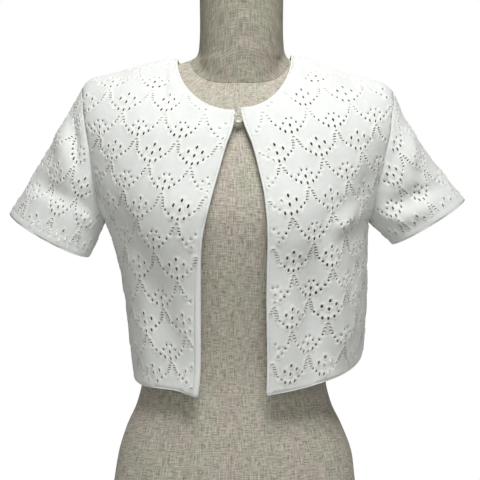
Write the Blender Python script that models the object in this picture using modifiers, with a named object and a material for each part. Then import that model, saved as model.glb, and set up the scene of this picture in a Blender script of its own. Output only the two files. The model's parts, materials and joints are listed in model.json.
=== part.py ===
"""A cropped short-sleeved cardigan, fastened at the neck only, on a dress form without limbs.

Metres, +Z up, the front towards -Y. Left and right are the wearer's, so the left side is at +X.
The origin is on the underside of the base board, below the middle of the form. Tables are in
millimetres.
"""
import math
from collections import namedtuple

import bmesh
import bpy
from mathutils import Vector

MM = 0.001
RIGHT = -1
LEFT = 1
FRONT = -1
BACK = 1

# Cloth
WALL = 1.5 * MM
SEAM_GAP = 0.3 * MM
FACING_WALL = 1.0 * MM
FACING_WIDTH = 18 * MM

# Heights that the cardigan's surface changes at
UNDERARM = 407 * MM
YOKE = 500 * MM

# Armholes: each is an oval in a plane that leans out at the top
ARMHOLE_TOP = 566 * MM
ARMHOLE_FRONT = 46 * MM
ARMHOLE_BACK = 50 * MM
ARMHOLE_LEAN = math.radians(10)

# Neckline
FRONT_NECK_Y = -80 * MM
BACK_NECK_Y = 70 * MM
BACK_NECK_HEIGHT = 587 * MM
NECK_SIDE_Y = 8 * MM
NECK_SHARE = 0.56
NECK_ROUNDNESS = 0.7
NECK_PULL = 0.8
SHOULDER_FULLNESS = {FRONT: 0.95, BACK: 1.4}

# Rows and columns of the cloth's grid
HEM_ROWS = 9
SIDE_ROWS = 6
YOKE_ROWS = 5
EDGE_ROWS = 2
SHOULDER_COLUMNS = 10
NECK_COLUMNS = 8
FACING_COLUMNS = 2
SLEEVE_RINGS = 12

# Dress form
BOARD_THICKNESS = 8 * MM
BOARD_INSET = 6 * MM
FORM_COLUMNS = 44
CAP_RADIUS = 46 * MM
CAP_THICKNESS = 6 * MM
CAP_EDGE = 1.5 * MM

# Button, and the threads that carry it, in its own frame: across, up and out
BUTTON_RADIUS = 5 * MM
BUTTON_THICKNESS = 3.2 * MM
BUTTON_PLACE = Vector((3.2, -86.6, 524)) * MM
BUTTON_TILT = math.radians(20)
SHANK_RADIUS = 0.6 * MM
SHANK_DEPTH = 3.9 * MM
SHANK_REACH = 5.35 * MM
LOOP_RADIUS = 0.45 * MM
LOOP_START = -5.85 * MM
LOOP_LEAN = 0.6 * MM
LOOP_REACH = 7.9 * MM
LOOP_HALF = 4.9 * MM
LOOP_WAIST = 0.45
LOOP_DEPTH = 2.7 * MM
LOOP_POINTS = 14

# Outside of the cloth at each height: how far it reaches from the middle to each side, the front
# and the back, and how square its corners are (2 is an ellipse)
Section = namedtuple("Section", "height right left front back square")
CLOTH = (
    Section(195, 121.0, 148.0, 101, 92, 2.3),
    Section(235, 123.0, 149.5, 102, 93, 2.3),
    Section(264, 126.6, 152.4, 104, 95, 2.3),
    Section(312, 132.0, 156.0, 108, 99, 2.3),
    Section(360, 140.5, 156.5, 115, 103, 2.3),
    Section(388, 149.0, 157.0, 118, 105, 2.3),
    Section(407, 156.0, 158.5, 118, 107, 2.3),
    Section(460, 168.0, 170.0, 108, 111, 2.4),
    Section(500, 174.0, 179.0, 95, 108, 2.4),
    Section(535, 180.0, 188.0, 80, 99, 2.4),
)

# The armhole seam from the underarm up: how far out it lies on each side
Seam = namedtuple("Seam", "height right left")
ARMHOLE = (
    Seam(407, 156.0, 158.5),
    Seam(418, 160.0, 161.5),
    Seam(444, 166.0, 166.5),
    Seam(470, 169.5, 173.0),
    Seam(500, 174.0, 179.0),
    Seam(535, 182.0, 188.0),
)

# The shoulder seam, from the neck out
Ridge = namedtuple("Ridge", "across height")
SHOULDER = {
    RIGHT: (Ridge(71, 603), Ridge(84, 601.5), Ridge(132, 588.5), Ridge(165, 580), Ridge(178, 573.5),
            Ridge(185, 565)),
    LEFT: (Ridge(67, 608), Ridge(82, 602.5), Ridge(108, 593), Ridge(134, 583.5), Ridge(160, 577.5),
           Ridge(174, 573.6), Ridge(182, 568.5), Ridge(189, 561)),
}

# The front edges: how far each lies from the middle, from the hem to the neck
Edge = namedtuple("Edge", "height right left")
FRONT_EDGE = (
    Edge(203, 47.0, 36.2),
    Edge(236, 44.2, 36.9),
    Edge(316, 43.6, 36.0),
    Edge(378, 39.3, 36.7),
    Edge(431, 28.4, 33.5),
    Edge(463, 20.1, 27.5),
    Edge(495, 11.2, 19.5),
    Edge(516, 3.5, 10.8),
    Edge(535, 2.1, 7.1),
)
NECK_CORNER_HEIGHT = {RIGHT: 532.5 * MM, LEFT: 535.5 * MM}

# Height of the hem, by share of the way from the side seam to the front edge or the middle back
Hem = namedtuple("Hem", "share right left")
FRONT_HEM = (
    Hem(0.0, 234, 257),
    Hem(0.15, 222, 246),
    Hem(0.45, 215, 228),
    Hem(0.8, 213, 214),
    Hem(1.0, 206, 208),
)
BACK_HEM = (
    Hem(0.0, 234, 257),
    Hem(0.2, 229, 245),
    Hem(0.6, 227, 231),
    Hem(1.0, 228, 228),
)

# Folds, as seen from the front or back: a ridge that rises and dies away from one end to the other,
# its half width and its height, which is below zero for a trough
Fold = namedtuple("Fold", "face from_x from_z to_x to_z width height")
CLOTH_FOLDS = (
    Fold(FRONT, -104, 368, -62, 214, 22, -8),
    Fold(FRONT, -122, 380, -104, 230, 14, 4),
    Fold(FRONT, 104, 392, 124, 226, 17, 9),
    Fold(FRONT, 82, 384, 92, 216, 15, -7),
    Fold(FRONT, 154, 420, 98, 390, 11, 7),
    Fold(FRONT, -152, 428, -104, 352, 13, -5),
    Fold(FRONT, 60, 350, 58, 204, 18, 4),
    Fold(BACK, -108, 404, -90, 220, 20, -7),
    Fold(BACK, 104, 408, 104, 220, 20, -7),
    Fold(BACK, 6, 400, 2, 216, 26, 6),
    Fold(BACK, -150, 424, -84, 388, 14, 5),
    Fold(BACK, 152, 426, 88, 392, 14, 5),
    Fold(FRONT, -208, 540, -200, 450, 11, 6),
    Fold(FRONT, -196, 545, -186, 460, 8, -4),
    Fold(FRONT, -244, 462, -170, 412, 10, -6),
    Fold(FRONT, 208, 530, 204, 440, 11, 6),
    Fold(FRONT, 252, 452, 176, 424, 10, -6),
    Fold(FRONT, 236, 426, 178, 402, 9, 4),
    Fold(BACK, -212, 536, -196, 444, 12, 6),
    Fold(BACK, -240, 452, -170, 412, 10, -6),
    Fold(BACK, 212, 530, 202, 440, 12, 6),
    Fold(BACK, 250, 450, 176, 418, 10, -6),
)

# Round swellings over the bust and the shoulder blades: the middle, the radius and the height
Swelling = namedtuple("Swelling", "face x z radius height")
CLOTH_SWELLINGS = (
    Swelling(FRONT, -67, 410, 42, 8),
    Swelling(FRONT, 68, 410, 42, 8),
    Swelling(BACK, -58, 455, 42, 3),
    Swelling(BACK, 58, 455, 42, 3),
)

# Sleeves: middle of the hem, half its width and depth, its slope, and how far the cloth leans out
# from straight down at the top and underarm of the armhole and at the hem, in degrees
Sleeve = namedtuple("Sleeve", "x y z half depth slope pitch top under end")
SLEEVES = {
    RIGHT: Sleeve(222.7, -4, 390.6, 54, 41, 28.5, 10, 27, 27, 31),
    LEFT: Sleeve(229.7, -4, 406.3, 51, 40, 31.6, 6, 18, 36, 39),
}

# Outside of the dress form at each height, round its own middle, which leans to one side: the body
# up to the shoulders, with its corners' squareness, and the neck that grows out of it
FormSection = namedtuple("FormSection", "height middle half front back square neck")
FORM = (
    FormSection(8.3, -1.5, 146, 84, 98, 2.2, 10),
    FormSection(14, -1.5, 150, 88, 102, 2.2, 10),
    FormSection(60, -1.5, 151, 92, 108, 2.2, 10),
    FormSection(96, -1.7, 144.3, 92, 106, 2.2, 10),
    FormSection(130, -1.0, 139.5, 88, 98, 2.2, 10),
    FormSection(164, -2.0, 128.0, 83, 87, 2.2, 10),
    FormSection(190, -2.4, 116.0, 79, 79, 2.2, 10),
    FormSection(216, -2.4, 109.8, 77, 74, 2.2, 10),
    FormSection(240, -2.4, 108.5, 78, 74, 2.2, 10),
    FormSection(300, -1.0, 115.0, 88, 82, 2.2, 10),
    FormSection(360, 0.0, 126.0, 101, 92, 2.2, 10),
    FormSection(410, 0.0, 137.0, 107, 99, 2.2, 10),
    FormSection(460, 0.0, 147.0, 98, 102, 2.2, 20),
    FormSection(500, 0.5, 157.0, 83, 98, 2.2, 34),
    FormSection(530, 1.5, 163.0, 69, 88, 2.2, 43),
    FormSection(548, 2.5, 165.0, 58, 77, 2.2, 47),
    FormSection(560, 3.4, 163.0, 48, 67, 2.1, 49),
    FormSection(568, 4.0, 156.0, 40, 58, 2.0, 49.5),
    FormSection(576, 4.6, 140.0, 31, 47, 2.0, 49.8),
    FormSection(583, 4.6, 117.0, 24, 37, 2.0, 49.8),
    FormSection(590, 4.6, 91.5, 18, 28, 2.0, 49.6),
    FormSection(597, 4.6, 66.0, 14, 20, 2.0, 49.2),
    FormSection(604, 6.6, 50.0, 12, 14, 2.0, 48.8),
    FormSection(614, 6.6, 44.0, 10, 10, 2.0, 48.6),
    FormSection(640, 6.6, 40.0, 10, 10, 2.0, 48.6),
    FormSection(680, 6.6, 40.0, 10, 10, 2.0, 49.2),
    FormSection(706, 6.6, 40.0, 10, 10, 2.0, 49.8),
    FormSection(712, 6.6, 40.0, 10, 10, 2.0, 48.4),
)
FORM_BLEND = 8
FORM_SWELLINGS = (
    Swelling(FRONT, -67, 410, 40, 7),
    Swelling(FRONT, 68, 410, 40, 7),
)


def curve_value(rows, column, at):
    """Value of a column where the first column is `at`, on a smooth curve that never overshoots."""
    places = [row[0] for row in rows]
    values = [getattr(row, column) for row in rows]
    if at <= places[0]:
        return values[0]
    if at >= places[-1]:
        return values[-1]
    last = len(places) - 1
    steps = [(values[i + 1] - values[i]) / (places[i + 1] - places[i]) for i in range(last)]

    def slope(i):
        if i == 0:
            return steps[0]
        if i == last:
            return steps[-1]
        before, after = steps[i - 1], steps[i]
        return 2 * before * after / (before + after) if before * after > 0 else 0.0

    i = max(k for k in range(last) if places[k] <= at)
    span = places[i + 1] - places[i]
    t = (at - places[i]) / span
    return (
        (2 * t**3 - 3 * t**2 + 1) * values[i]
        + (t**3 - 2 * t**2 + t) * span * slope(i)
        + (3 * t**2 - 2 * t**3) * values[i + 1]
        + (t**3 - t**2) * span * slope(i + 1)
    )


def side_column(side):
    return "right" if side == RIGHT else "left"


def swelling_height(swellings, face, x, z):
    """How far a point seen at (x, z) from the front or back is lifted by the swellings."""
    lift = 0.0
    for swelling in swellings:
        if swelling.face == face:
            away = math.hypot(x / MM - swelling.x, z / MM - swelling.z) / swelling.radius
            lift += swelling.height * MM * math.exp(-away * away)
    return lift


def fold_height(face, x, z):
    """How far a point of the cloth seen at (x, z) is lifted by the folds."""
    lift = 0.0
    for fold in CLOTH_FOLDS:
        start = Vector((fold.from_x, fold.from_z)) * MM
        run = Vector((fold.to_x, fold.to_z)) * MM - start
        share = (Vector((x, z)) - start).dot(run) / run.length_squared
        if fold.face == face and 0 < share < 1:
            away = (Vector((x, z)) - start - run * share).length / (fold.width * MM)
            lift += fold.height * MM * math.exp(-away * away) * math.sin(math.pi * share)
    return lift


# The cardigan's surface
def armhole_depth(face, height):
    """How far in front of or behind the side the armhole seam lies at a height."""
    middle = (UNDERARM + ARMHOLE_TOP) / 2
    share = max(-1.0, min(1.0, (height - middle) / (ARMHOLE_TOP - middle)))
    reach = ARMHOLE_FRONT if face == FRONT else ARMHOLE_BACK
    return reach * math.sqrt(1 - share * share)


def ring_shape(side, face, height):
    """Half width, depth and squareness of the cloth's outline, and the angle that it starts at."""
    at = height / MM
    depth = curve_value(CLOTH, "front" if face == FRONT else "back", at) * MM
    square = curve_value(CLOTH, "square", at)
    if height <= UNDERARM:
        return curve_value(CLOTH, side_column(side), at) * MM, depth, square, 0.0
    seam_y = armhole_depth(face, height) / depth
    across = curve_value(ARMHOLE, side_column(side), at) * MM
    half = across / (1 - seam_y**square) ** (1 / square)
    return half, depth, square, math.asin(seam_y ** (square / 2))


def ring_curve(side, face, height, samples=28):
    """The cloth's outline at a height, from the side seam or armhole to the front edge or the
    middle back."""
    half, depth, square, start = ring_shape(side, face, height)
    end = math.pi / 2
    if face == FRONT:
        edge = curve_value(FRONT_EDGE, side_column(side), height / MM) * MM
        end = math.acos((edge / half) ** (square / 2))
    points = []
    for i in range(samples + 1):
        angle = start + (end - start) * i / samples
        x = side * half * abs(math.cos(angle)) ** (2 / square)
        y = face * depth * abs(math.sin(angle)) ** (2 / square)
        points.append(Vector((x, y, height)))
    return points


def at_share(points, share):
    """The point at a share of the length of a line through the given points."""
    lengths = [(b - a).length for a, b in zip(points, points[1:])]
    left = share * sum(lengths)
    for a, b, length in zip(points, points[1:], lengths):
        if left <= length:
            return a.lerp(b, left / length)
        left -= length
    return points[-1].copy()


def ring_point(side, face, share, height):
    return at_share(ring_curve(side, face, height), share)


def top_point(side, face, share):
    """The upper edge of a panel: the shoulder seam from the tip in, and then the neckline."""
    ridge = SHOULDER[side]
    if share <= NECK_SHARE:
        across = ridge[-1].across + (ridge[0].across - ridge[-1].across) * share / NECK_SHARE
        height = curve_value(ridge, "height", across)
        y = NECK_SIDE_Y * share / NECK_SHARE
        return Vector((side * across * MM, y, height * MM))
    turn = (share - NECK_SHARE) / (1 - NECK_SHARE) * math.pi / 2
    neck_x = ridge[0].across * MM
    neck_z = ridge[0].height * MM
    if face == FRONT:
        edge = FRONT_EDGE[-1]
        end_x = getattr(edge, side_column(side)) * MM
        end_y, end_z = FRONT_NECK_Y, NECK_CORNER_HEIGHT[side]
    else:
        end_x, end_y, end_z = 0.0, BACK_NECK_Y, BACK_NECK_HEIGHT
    x = end_x + (neck_x - end_x) * math.cos(turn)
    y = NECK_SIDE_Y + (end_y - NECK_SIDE_Y) * math.sin(turn) ** NECK_ROUNDNESS
    return Vector((side * x, y, neck_z + (end_z - neck_z) * math.sin(turn)))


def yoke_point(side, face, share, rise):
    """A point between the yoke line (rise 0) and the upper edge (rise 1), on a rounded shoulder."""
    low = ring_point(side, face, share, YOKE)
    high = top_point(side, face, share)
    step = 2 * MM
    start_way = (low - ring_point(side, face, share, YOKE - step)).normalized()
    turn = max(0.0, (share - NECK_SHARE) / (1 - NECK_SHARE)) * math.pi / 2
    over = math.sin(turn) if face == FRONT else 0.8 * math.sin(turn)
    inward = NECK_PULL * min(1.0, share / NECK_SHARE) ** 4 * math.cos(turn)
    end_way = Vector((-side * inward, -face * (1 - 0.55 * over), 0.9 * over)).normalized()
    chord = (high - low).length
    reach = (SHOULDER_FULLNESS[face] - 0.5 * inward) * chord
    r = rise
    return (
        low * (2 * r**3 - 3 * r**2 + 1)
        + start_way * (r**3 - 2 * r**2 + r) * chord
        + high * (3 * r**2 - 2 * r**3)
        + end_way * (r**3 - r**2) * reach
    )


def edge_rise(side, face, share):
    """The rise that lies a facing's width below the upper edge."""
    share = max(share, NECK_SHARE)
    points = [yoke_point(side, face, share, i / 10) for i in range(11)]
    length = sum((b - a).length for a, b in zip(points, points[1:]))
    return 1 - FACING_WIDTH / length


def column_shares():
    shares = [NECK_SHARE * c / SHOULDER_COLUMNS for c in range(SHOULDER_COLUMNS)]
    return shares + [
        NECK_SHARE + (1 - NECK_SHARE) * c / NECK_COLUMNS for c in range(NECK_COLUMNS + 1)
    ]


def half_panel(side, face):
    """Rows of points from the hem to the upper edge, each from the side in."""
    shares = column_shares()
    hem = FRONT_HEM if face == FRONT else BACK_HEM
    rows = []
    for row in range(HEM_ROWS + 1):
        heights = [curve_value(hem, side_column(side), share) * MM for share in shares]
        levels = [low + (UNDERARM - low) * row / HEM_ROWS for low in heights]
        rows.append([ring_point(side, face, s, z) for s, z in zip(shares, levels)])
    middle = (UNDERARM + ARMHOLE_TOP) / 2
    last_turn = math.acos((middle - YOKE) / (ARMHOLE_TOP - middle))
    for row in range(1, SIDE_ROWS + 1):
        level = middle - (ARMHOLE_TOP - middle) * math.cos(last_turn * row / SIDE_ROWS)
        rows.append([ring_point(side, face, share, level) for share in shares])
    rises = [edge_rise(side, face, share) for share in shares]
    for row in range(1, YOKE_ROWS + 1):
        rows.append([yoke_point(side, face, s, r * row / YOKE_ROWS) for s, r in zip(shares, rises)])
    for row in range(1, EDGE_ROWS + 1):
        rows.append([
            yoke_point(side, face, s, r + (1 - r) * row / EDGE_ROWS) for s, r in zip(shares, rises)
        ])
    return rows


def grid_normal(rows, row, column, closed=False):
    """The outward direction at a grid point, from its neighbours."""
    last = len(rows[0])
    if closed:
        across = rows[row][(column + 1) % last] - rows[row][column - 1]
    else:
        across = rows[row][min(column + 1, last - 1)] - rows[row][max(column - 1, 0)]
    up = rows[min(row + 1, len(rows) - 1)][column] - rows[max(row - 1, 0)][column]
    return across.cross(up).normalized()


def taper(count, near):
    """1 inside a panel, falling to 0 at a seam."""
    share = min(1.0, count / near)
    return share * share * (3 - 2 * share)


def folded(rows, face, seams, closed=False, near=2):
    """The rows with their folds, which fade out at the seams: `seams` says whether the first and
    the last column are on one."""
    result = []
    last = len(rows[0]) - 1
    top = len(rows) - 1
    for row, points in enumerate(rows):
        moved = []
        for column, point in enumerate(points):
            way = grid_normal(rows, row, column, closed)
            seen = face or (FRONT if way.y < 0 else BACK)
            fade = min(1.0, 1.4 * abs(way.y)) * taper(top - row, near)
            if seams[0]:
                fade *= taper(column, near)
            if seams[1]:
                fade *= taper(last - column, near)
            lift = fold_height(seen, point.x, point.z)
            lift += swelling_height(CLOTH_SWELLINGS, seen, point.x, point.z)
            moved.append(point + way * fade * lift)
        result.append(moved)
    return result


# Seams
def armhole_way(side):
    """The direction that the armhole faces: out, and a little down."""
    return Vector((side * math.cos(ARMHOLE_LEAN), 0, -math.sin(ARMHOLE_LEAN)))


def armhole_out(side, point):
    """The direction in the armhole's plane from its middle to a point on its seam."""
    facing = armhole_way(side)
    middle_x = curve_value(ARMHOLE, side_column(side), (UNDERARM + ARMHOLE_TOP) / 2 / MM) * MM
    away = point - Vector((side * middle_x, 0, (UNDERARM + ARMHOLE_TOP) / 2))
    return (away - facing * away.dot(facing)).normalized()


def shoulder_up(row, column, first, last):
    """The direction square to the shoulder seam, whose columns run from first to last."""
    along = row[min(column + 1, last)] - row[max(column - 1, first)]
    way = Vector((-along.z, 0, along.x)).normalized()
    return way * math.copysign(1, way.z)


def panel_walls(rows, face, first_side, last_side):
    """The outside and inside of a panel's wall, with its edges drawn back from the seams."""
    outside, inside = [], []
    top = len(rows) - 1
    end = len(rows[0]) - 1
    for r, row in enumerate(rows):
        outer, inner = [], []
        for c, point in enumerate(row):
            way = grid_normal(rows, r, c)
            shift = Vector((0, 0, 0))
            if r == top and first_side is not None and c <= SHOULDER_COLUMNS:
                way = shoulder_up(row, c, 0, SHOULDER_COLUMNS)
                shift.y += face * SEAM_GAP / 2
            elif r == top and last_side is not None and c >= end - SHOULDER_COLUMNS:
                way = shoulder_up(row, c, end - SHOULDER_COLUMNS, end)
                shift.y += face * SEAM_GAP / 2
            side = {0: first_side, end: last_side}.get(c)
            if side is not None and r >= HEM_ROWS:
                way = armhole_out(side, point)
                shift -= armhole_way(side) * SEAM_GAP / 2
            elif side is not None:
                way = Vector((side, 0, 0))
            if side is not None and r <= HEM_ROWS:
                shift.y += face * SEAM_GAP / 2
            outer.append(point + shift)
            inner.append(point + shift - way * WALL)
        outside.append(outer)
        inside.append(inner)
    return outside, inside


def sleeve_rows(side, loop):
    """Rings of points from the armhole seam to the hem, and the rim direction of the first."""
    shape = SLEEVES[side]
    slope = math.radians(shape.slope)
    pitch = math.radians(shape.pitch)
    outward = Vector((side * math.cos(slope), 0, math.sin(slope)))
    forward = Vector((0, -math.cos(pitch), -math.sin(pitch)))
    centre = Vector((side * shape.x, shape.y, shape.z)) * MM

    def lean(degrees):
        angle = math.radians(degrees)
        return Vector((side * math.sin(angle), 0, -math.cos(angle)))

    axis = lean(shape.end)
    across = Vector((-axis.z, 0, axis.x)) * side
    middle = sum(loop, Vector()) / len(loop)
    rings = [[] for _ in range(SLEEVE_RINGS + 1)]
    for point in loop:
        away = point - middle
        turn = math.atan2(-away.y / shape.depth, away.dot(across) / shape.half)
        end = centre + outward * shape.half * MM * math.cos(turn)
        end += forward * shape.depth * MM * math.sin(turn)
        start_way = lean(shape.under).lerp(lean(shape.top), (1 + math.cos(turn)) / 2)
        chord = (end - point).length
        for ring in range(SLEEVE_RINGS + 1):
            r = ring / SLEEVE_RINGS
            rings[ring].append(
                point * (2 * r**3 - 3 * r**2 + 1)
                + start_way * (r**3 - 2 * r**2 + r) * chord
                + end * (3 * r**2 - 2 * r**3)
                + lean(shape.end) * (r**3 - r**2) * chord
            )
    return rings


# Meshes
def material(name, colour, roughness, metallic=0.0):
    made = bpy.data.materials.new(name)
    made.use_nodes = True
    shader = made.node_tree.nodes["Principled BSDF"]
    shader.inputs["Base Color"].default_value = (*colour, 1)
    shader.inputs["Roughness"].default_value = roughness
    shader.inputs["Metallic"].default_value = metallic
    return made


def new_object(name, mesh, finish):
    made = bpy.data.objects.new(name, mesh)
    made.data.materials.append(finish)
    bpy.context.scene.collection.children["Cardigan"].objects.link(made)
    return made


def wall_object(name, outside, inside, finish, closed=False, flip=False, keep=None):
    """A closed wall between two grids. `keep` picks the cells that it covers."""
    columns = len(outside[0])
    cells = []
    for r in range(len(outside) - 1):
        for c in range(columns if closed else columns - 1):
            if keep is None or keep(r, c):
                after = (c + 1) % columns
                corners = [(r, c), (r, after), (r + 1, after), (r + 1, c)]
                cells.append(corners[::-1] if flip else corners)
    mesh = bmesh.new()
    outer, inner = {}, {}
    for corners in cells:
        for r, c in corners:
            if (r, c) not in outer:
                outer[r, c] = mesh.verts.new(outside[r][c])
                inner[r, c] = mesh.verts.new(inside[r][c])
    edges = {}
    for a, b, c, d in cells:
        for triangle in ((a, b, c), (a, c, d)):
            mesh.faces.new([outer[key] for key in triangle])
            mesh.faces.new([inner[key] for key in reversed(triangle)])
        for edge in ((a, b), (b, c), (c, d), (d, a)):
            edges[edge] = True
    for a, b in edges:
        if (b, a) not in edges:
            mesh.faces.new([outer[a], inner[a], inner[b]])
            mesh.faces.new([outer[a], inner[b], outer[b]])
    data = bpy.data.meshes.new(name)
    mesh.to_mesh(data)
    mesh.free()
    data.shade_smooth()
    data.set_sharp_from_angle(angle=math.radians(50))
    return new_object(name, data, finish)


def turned_object(name, profile, finish, steps=28):
    """A solid turned round its own Z axis, from a profile of (radius, height) from the top down."""
    data = bpy.data.meshes.new(name)
    edges = [(i, i + 1) for i in range(len(profile) - 1)]
    data.from_pydata([(radius, 0, height) for radius, height in profile], edges, [])
    made = new_object(name, data, finish)
    screw = made.modifiers.new("Turn", "SCREW")
    screw.steps = steps
    screw.render_steps = steps
    screw.use_merge_vertices = True
    screw.merge_threshold = 0.00005
    screw.use_smooth_shade = True
    return made


def thread_object(name, points, radius, finish):
    curve = bpy.data.curves.new(name, "CURVE")
    curve.dimensions = "3D"
    curve.bevel_depth = radius
    curve.bevel_resolution = 2
    curve.use_fill_caps = True
    spline = curve.splines.new("POLY")
    spline.points.add(len(points) - 1)
    for place, point in zip(spline.points, points):
        place.co = (*point, 1)
    return new_object(name, curve, finish)


# Pieces
def make_cardigan(jersey, plain):
    """The panels, sleeves and facings."""
    edges = {}
    facing_column = SHOULDER_COLUMNS + NECK_COLUMNS - FACING_COLUMNS
    facing_row = HEM_ROWS + SIDE_ROWS + YOKE_ROWS
    for side in (RIGHT, LEFT):
        rows = half_panel(side, FRONT)
        if side == LEFT:
            rows = [row[::-1] for row in rows]
        on_right = side == RIGHT
        rows = folded(rows, FRONT, (on_right, not on_right))
        outside, inside = panel_walls(rows, FRONT, *((side, None) if on_right else (None, side)))
        if side == LEFT:
            rows, outside, inside = ([row[::-1] for row in g] for g in (rows, outside, inside))
        flip = side == LEFT
        wall_object("front_" + side_column(side), outside, inside, jersey, flip=flip)
        edges[side, FRONT] = [row[0] for row in rows[HEM_ROWS:]]

        def on_facing(r, c):
            on_neck = r >= facing_row and c >= SHOULDER_COLUMNS - FACING_COLUMNS
            return on_neck or c >= facing_column

        gap = SEAM_GAP / WALL
        depth = gap + FACING_WALL / WALL
        near = [[i + (i - o) * gap for o, i in zip(a, b)] for a, b in zip(outside, inside)]
        far = [[i + (i - o) * depth for o, i in zip(a, b)] for a, b in zip(outside, inside)]
        name = "facing_" + side_column(side)
        wall_object(name, near, far, plain, flip=flip, keep=on_facing)

    right_half = half_panel(RIGHT, BACK)
    left_half = half_panel(LEFT, BACK)
    whole = [left + right[-2::-1] for left, right in zip(left_half, right_half)]
    whole = folded(whole, BACK, (True, True))
    outside, inside = panel_walls(whole, BACK, LEFT, RIGHT)
    wall_object("back", outside, inside, jersey)
    edges[LEFT, BACK] = [row[0] for row in whole[HEM_ROWS:]]
    edges[RIGHT, BACK] = [row[-1] for row in whole[HEM_ROWS:]]

    for side in (RIGHT, LEFT):
        loop = edges[side, FRONT] + edges[side, BACK][-2:0:-1]
        rings = sleeve_rows(side, loop)
        if side == LEFT:
            rings = [ring[::-1] for ring in rings]
        rings = folded(rings[::-1], None, (False, False), closed=True)
        last = len(rings) - 1
        outside, inside = [], []
        for r, ring in enumerate(rings):
            ways = [grid_normal(rings, r, c, closed=True) for c in range(len(ring))]
            points = [point.copy() for point in ring]
            if r == last:
                ways = [armhole_out(side, point) for point in ring]
                points = [point + armhole_way(side) * SEAM_GAP / 2 for point in ring]
            outside.append(points)
            inside.append([point - way * WALL for point, way in zip(points, ways)])
        wall_object("sleeve_" + side_column(side), outside, inside, jersey, closed=True)


def form_radius(section, cosine, sine):
    """How far the dress form reaches from its middle, in a direction in the level plane."""
    square = section.square
    depth = section.front if sine < 0 else section.back
    body = (abs(cosine) / section.half) ** square + (abs(sine) / depth) ** square
    body = body ** (-1 / square)
    return (body**FORM_BLEND + section.neck**FORM_BLEND) ** (1 / FORM_BLEND)


def make_form(linen, wood):
    """The dress form: its linen-covered body and neck, the cap on the neck and the base board."""
    rings = []
    for section in FORM:
        ring = []
        for c in range(FORM_COLUMNS):
            angle = 2 * math.pi * c / FORM_COLUMNS
            cosine, sine = math.cos(angle), math.sin(angle)
            radius = form_radius(section, cosine, sine)
            place = Vector((section.middle + radius * cosine, radius * sine, section.height))
            point = place * MM
            face = FRONT if sine < 0 else BACK
            lift = swelling_height(FORM_SWELLINGS, face, point.x, point.z)
            point.y += face * lift * abs(sine)
            ring.append(point)
        rings.append(ring)
    mesh = bmesh.new()
    verts = [[mesh.verts.new(point) for point in ring] for ring in rings]
    for low, high in zip(verts, verts[1:]):
        for c in range(FORM_COLUMNS):
            after = (c + 1) % FORM_COLUMNS
            mesh.faces.new((low[c], low[after], high[after], high[c]))
    mesh.faces.new(verts[0][::-1])
    mesh.faces.new(verts[-1])
    data = bpy.data.meshes.new("dress_form")
    mesh.to_mesh(data)
    mesh.free()
    data.shade_smooth()
    data.set_sharp_from_angle(angle=math.radians(50))
    new_object("dress_form", data, linen)

    top = FORM[-1]
    low = top.height * MM + SEAM_GAP
    cap = turned_object("neck_cap", [
        (0, low + CAP_THICKNESS),
        (CAP_RADIUS - 4 * CAP_EDGE, low + CAP_THICKNESS - 0.2 * CAP_EDGE),
        (CAP_RADIUS - CAP_EDGE, low + CAP_THICKNESS - CAP_EDGE),
        (CAP_RADIUS, low + CAP_THICKNESS - 2 * CAP_EDGE),
        (CAP_RADIUS, low),
        (0, low),
    ], wood, steps=40)
    cap.location.x = top.middle * MM

    bottom = FORM[0]
    bpy.ops.mesh.primitive_cylinder_add(
        vertices=48, radius=1, depth=BOARD_THICKNESS, end_fill_type="NGON",
        location=(0, 0, BOARD_THICKNESS / 2))
    board = bpy.context.object
    board.name = "base_board"
    board.scale = (
        bottom.half * MM - BOARD_INSET, (bottom.front + bottom.back) / 2 * MM - BOARD_INSET, 1)
    board.location.y = (bottom.back - bottom.front) / 2 * MM
    bpy.ops.object.transform_apply(location=False, rotation=False, scale=True)
    for holder in list(board.users_collection):
        holder.objects.unlink(board)
    bpy.context.scene.collection.children["Cardigan"].objects.link(board)
    board.data.materials.append(wood)


def make_button(pearl, thread):
    """The button in its thread loop, at the neck between the two fronts."""
    radius, half = BUTTON_RADIUS, BUTTON_THICKNESS / 2
    button = turned_object("button", [
        (0, half * 0.6),
        (radius * 0.55, half * 0.55),
        (radius * 0.7, half),
        (radius * 0.88, half * 0.8),
        (radius, half * 0.1),
        (radius * 0.92, -half * 0.6),
        (radius * 0.5, -half),
        (0, -half),
    ], pearl)
    button.location = BUTTON_PLACE
    button.rotation_euler.x = math.pi / 2 - BUTTON_TILT

    up = Vector((0, math.sin(BUTTON_TILT), math.cos(BUTTON_TILT)))
    out = Vector((0, -math.cos(BUTTON_TILT), math.sin(BUTTON_TILT)))

    def place(across, rise, depth):
        return BUTTON_PLACE + Vector((across, 0, 0)) + up * rise - out * depth

    start = half + SEAM_GAP + SHANK_RADIUS
    shank = [place(0, 0, start), place(0, 0, SHANK_DEPTH), place(SHANK_REACH, 0, SHANK_DEPTH)]
    thread_object("button_shank", shank, SHANK_RADIUS, thread)

    loop = []
    for i in range(LOOP_POINTS + 1):
        turn = math.pi * i / LOOP_POINTS
        across = LOOP_START + LOOP_REACH * math.sin(turn) - LOOP_LEAN * math.cos(turn)
        rise = -LOOP_HALF * math.cos(turn) * (1 - LOOP_WAIST * math.sin(turn))
        loop.append(place(across, rise, LOOP_DEPTH))
    thread_object("button_loop", loop, LOOP_RADIUS, thread)


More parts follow.
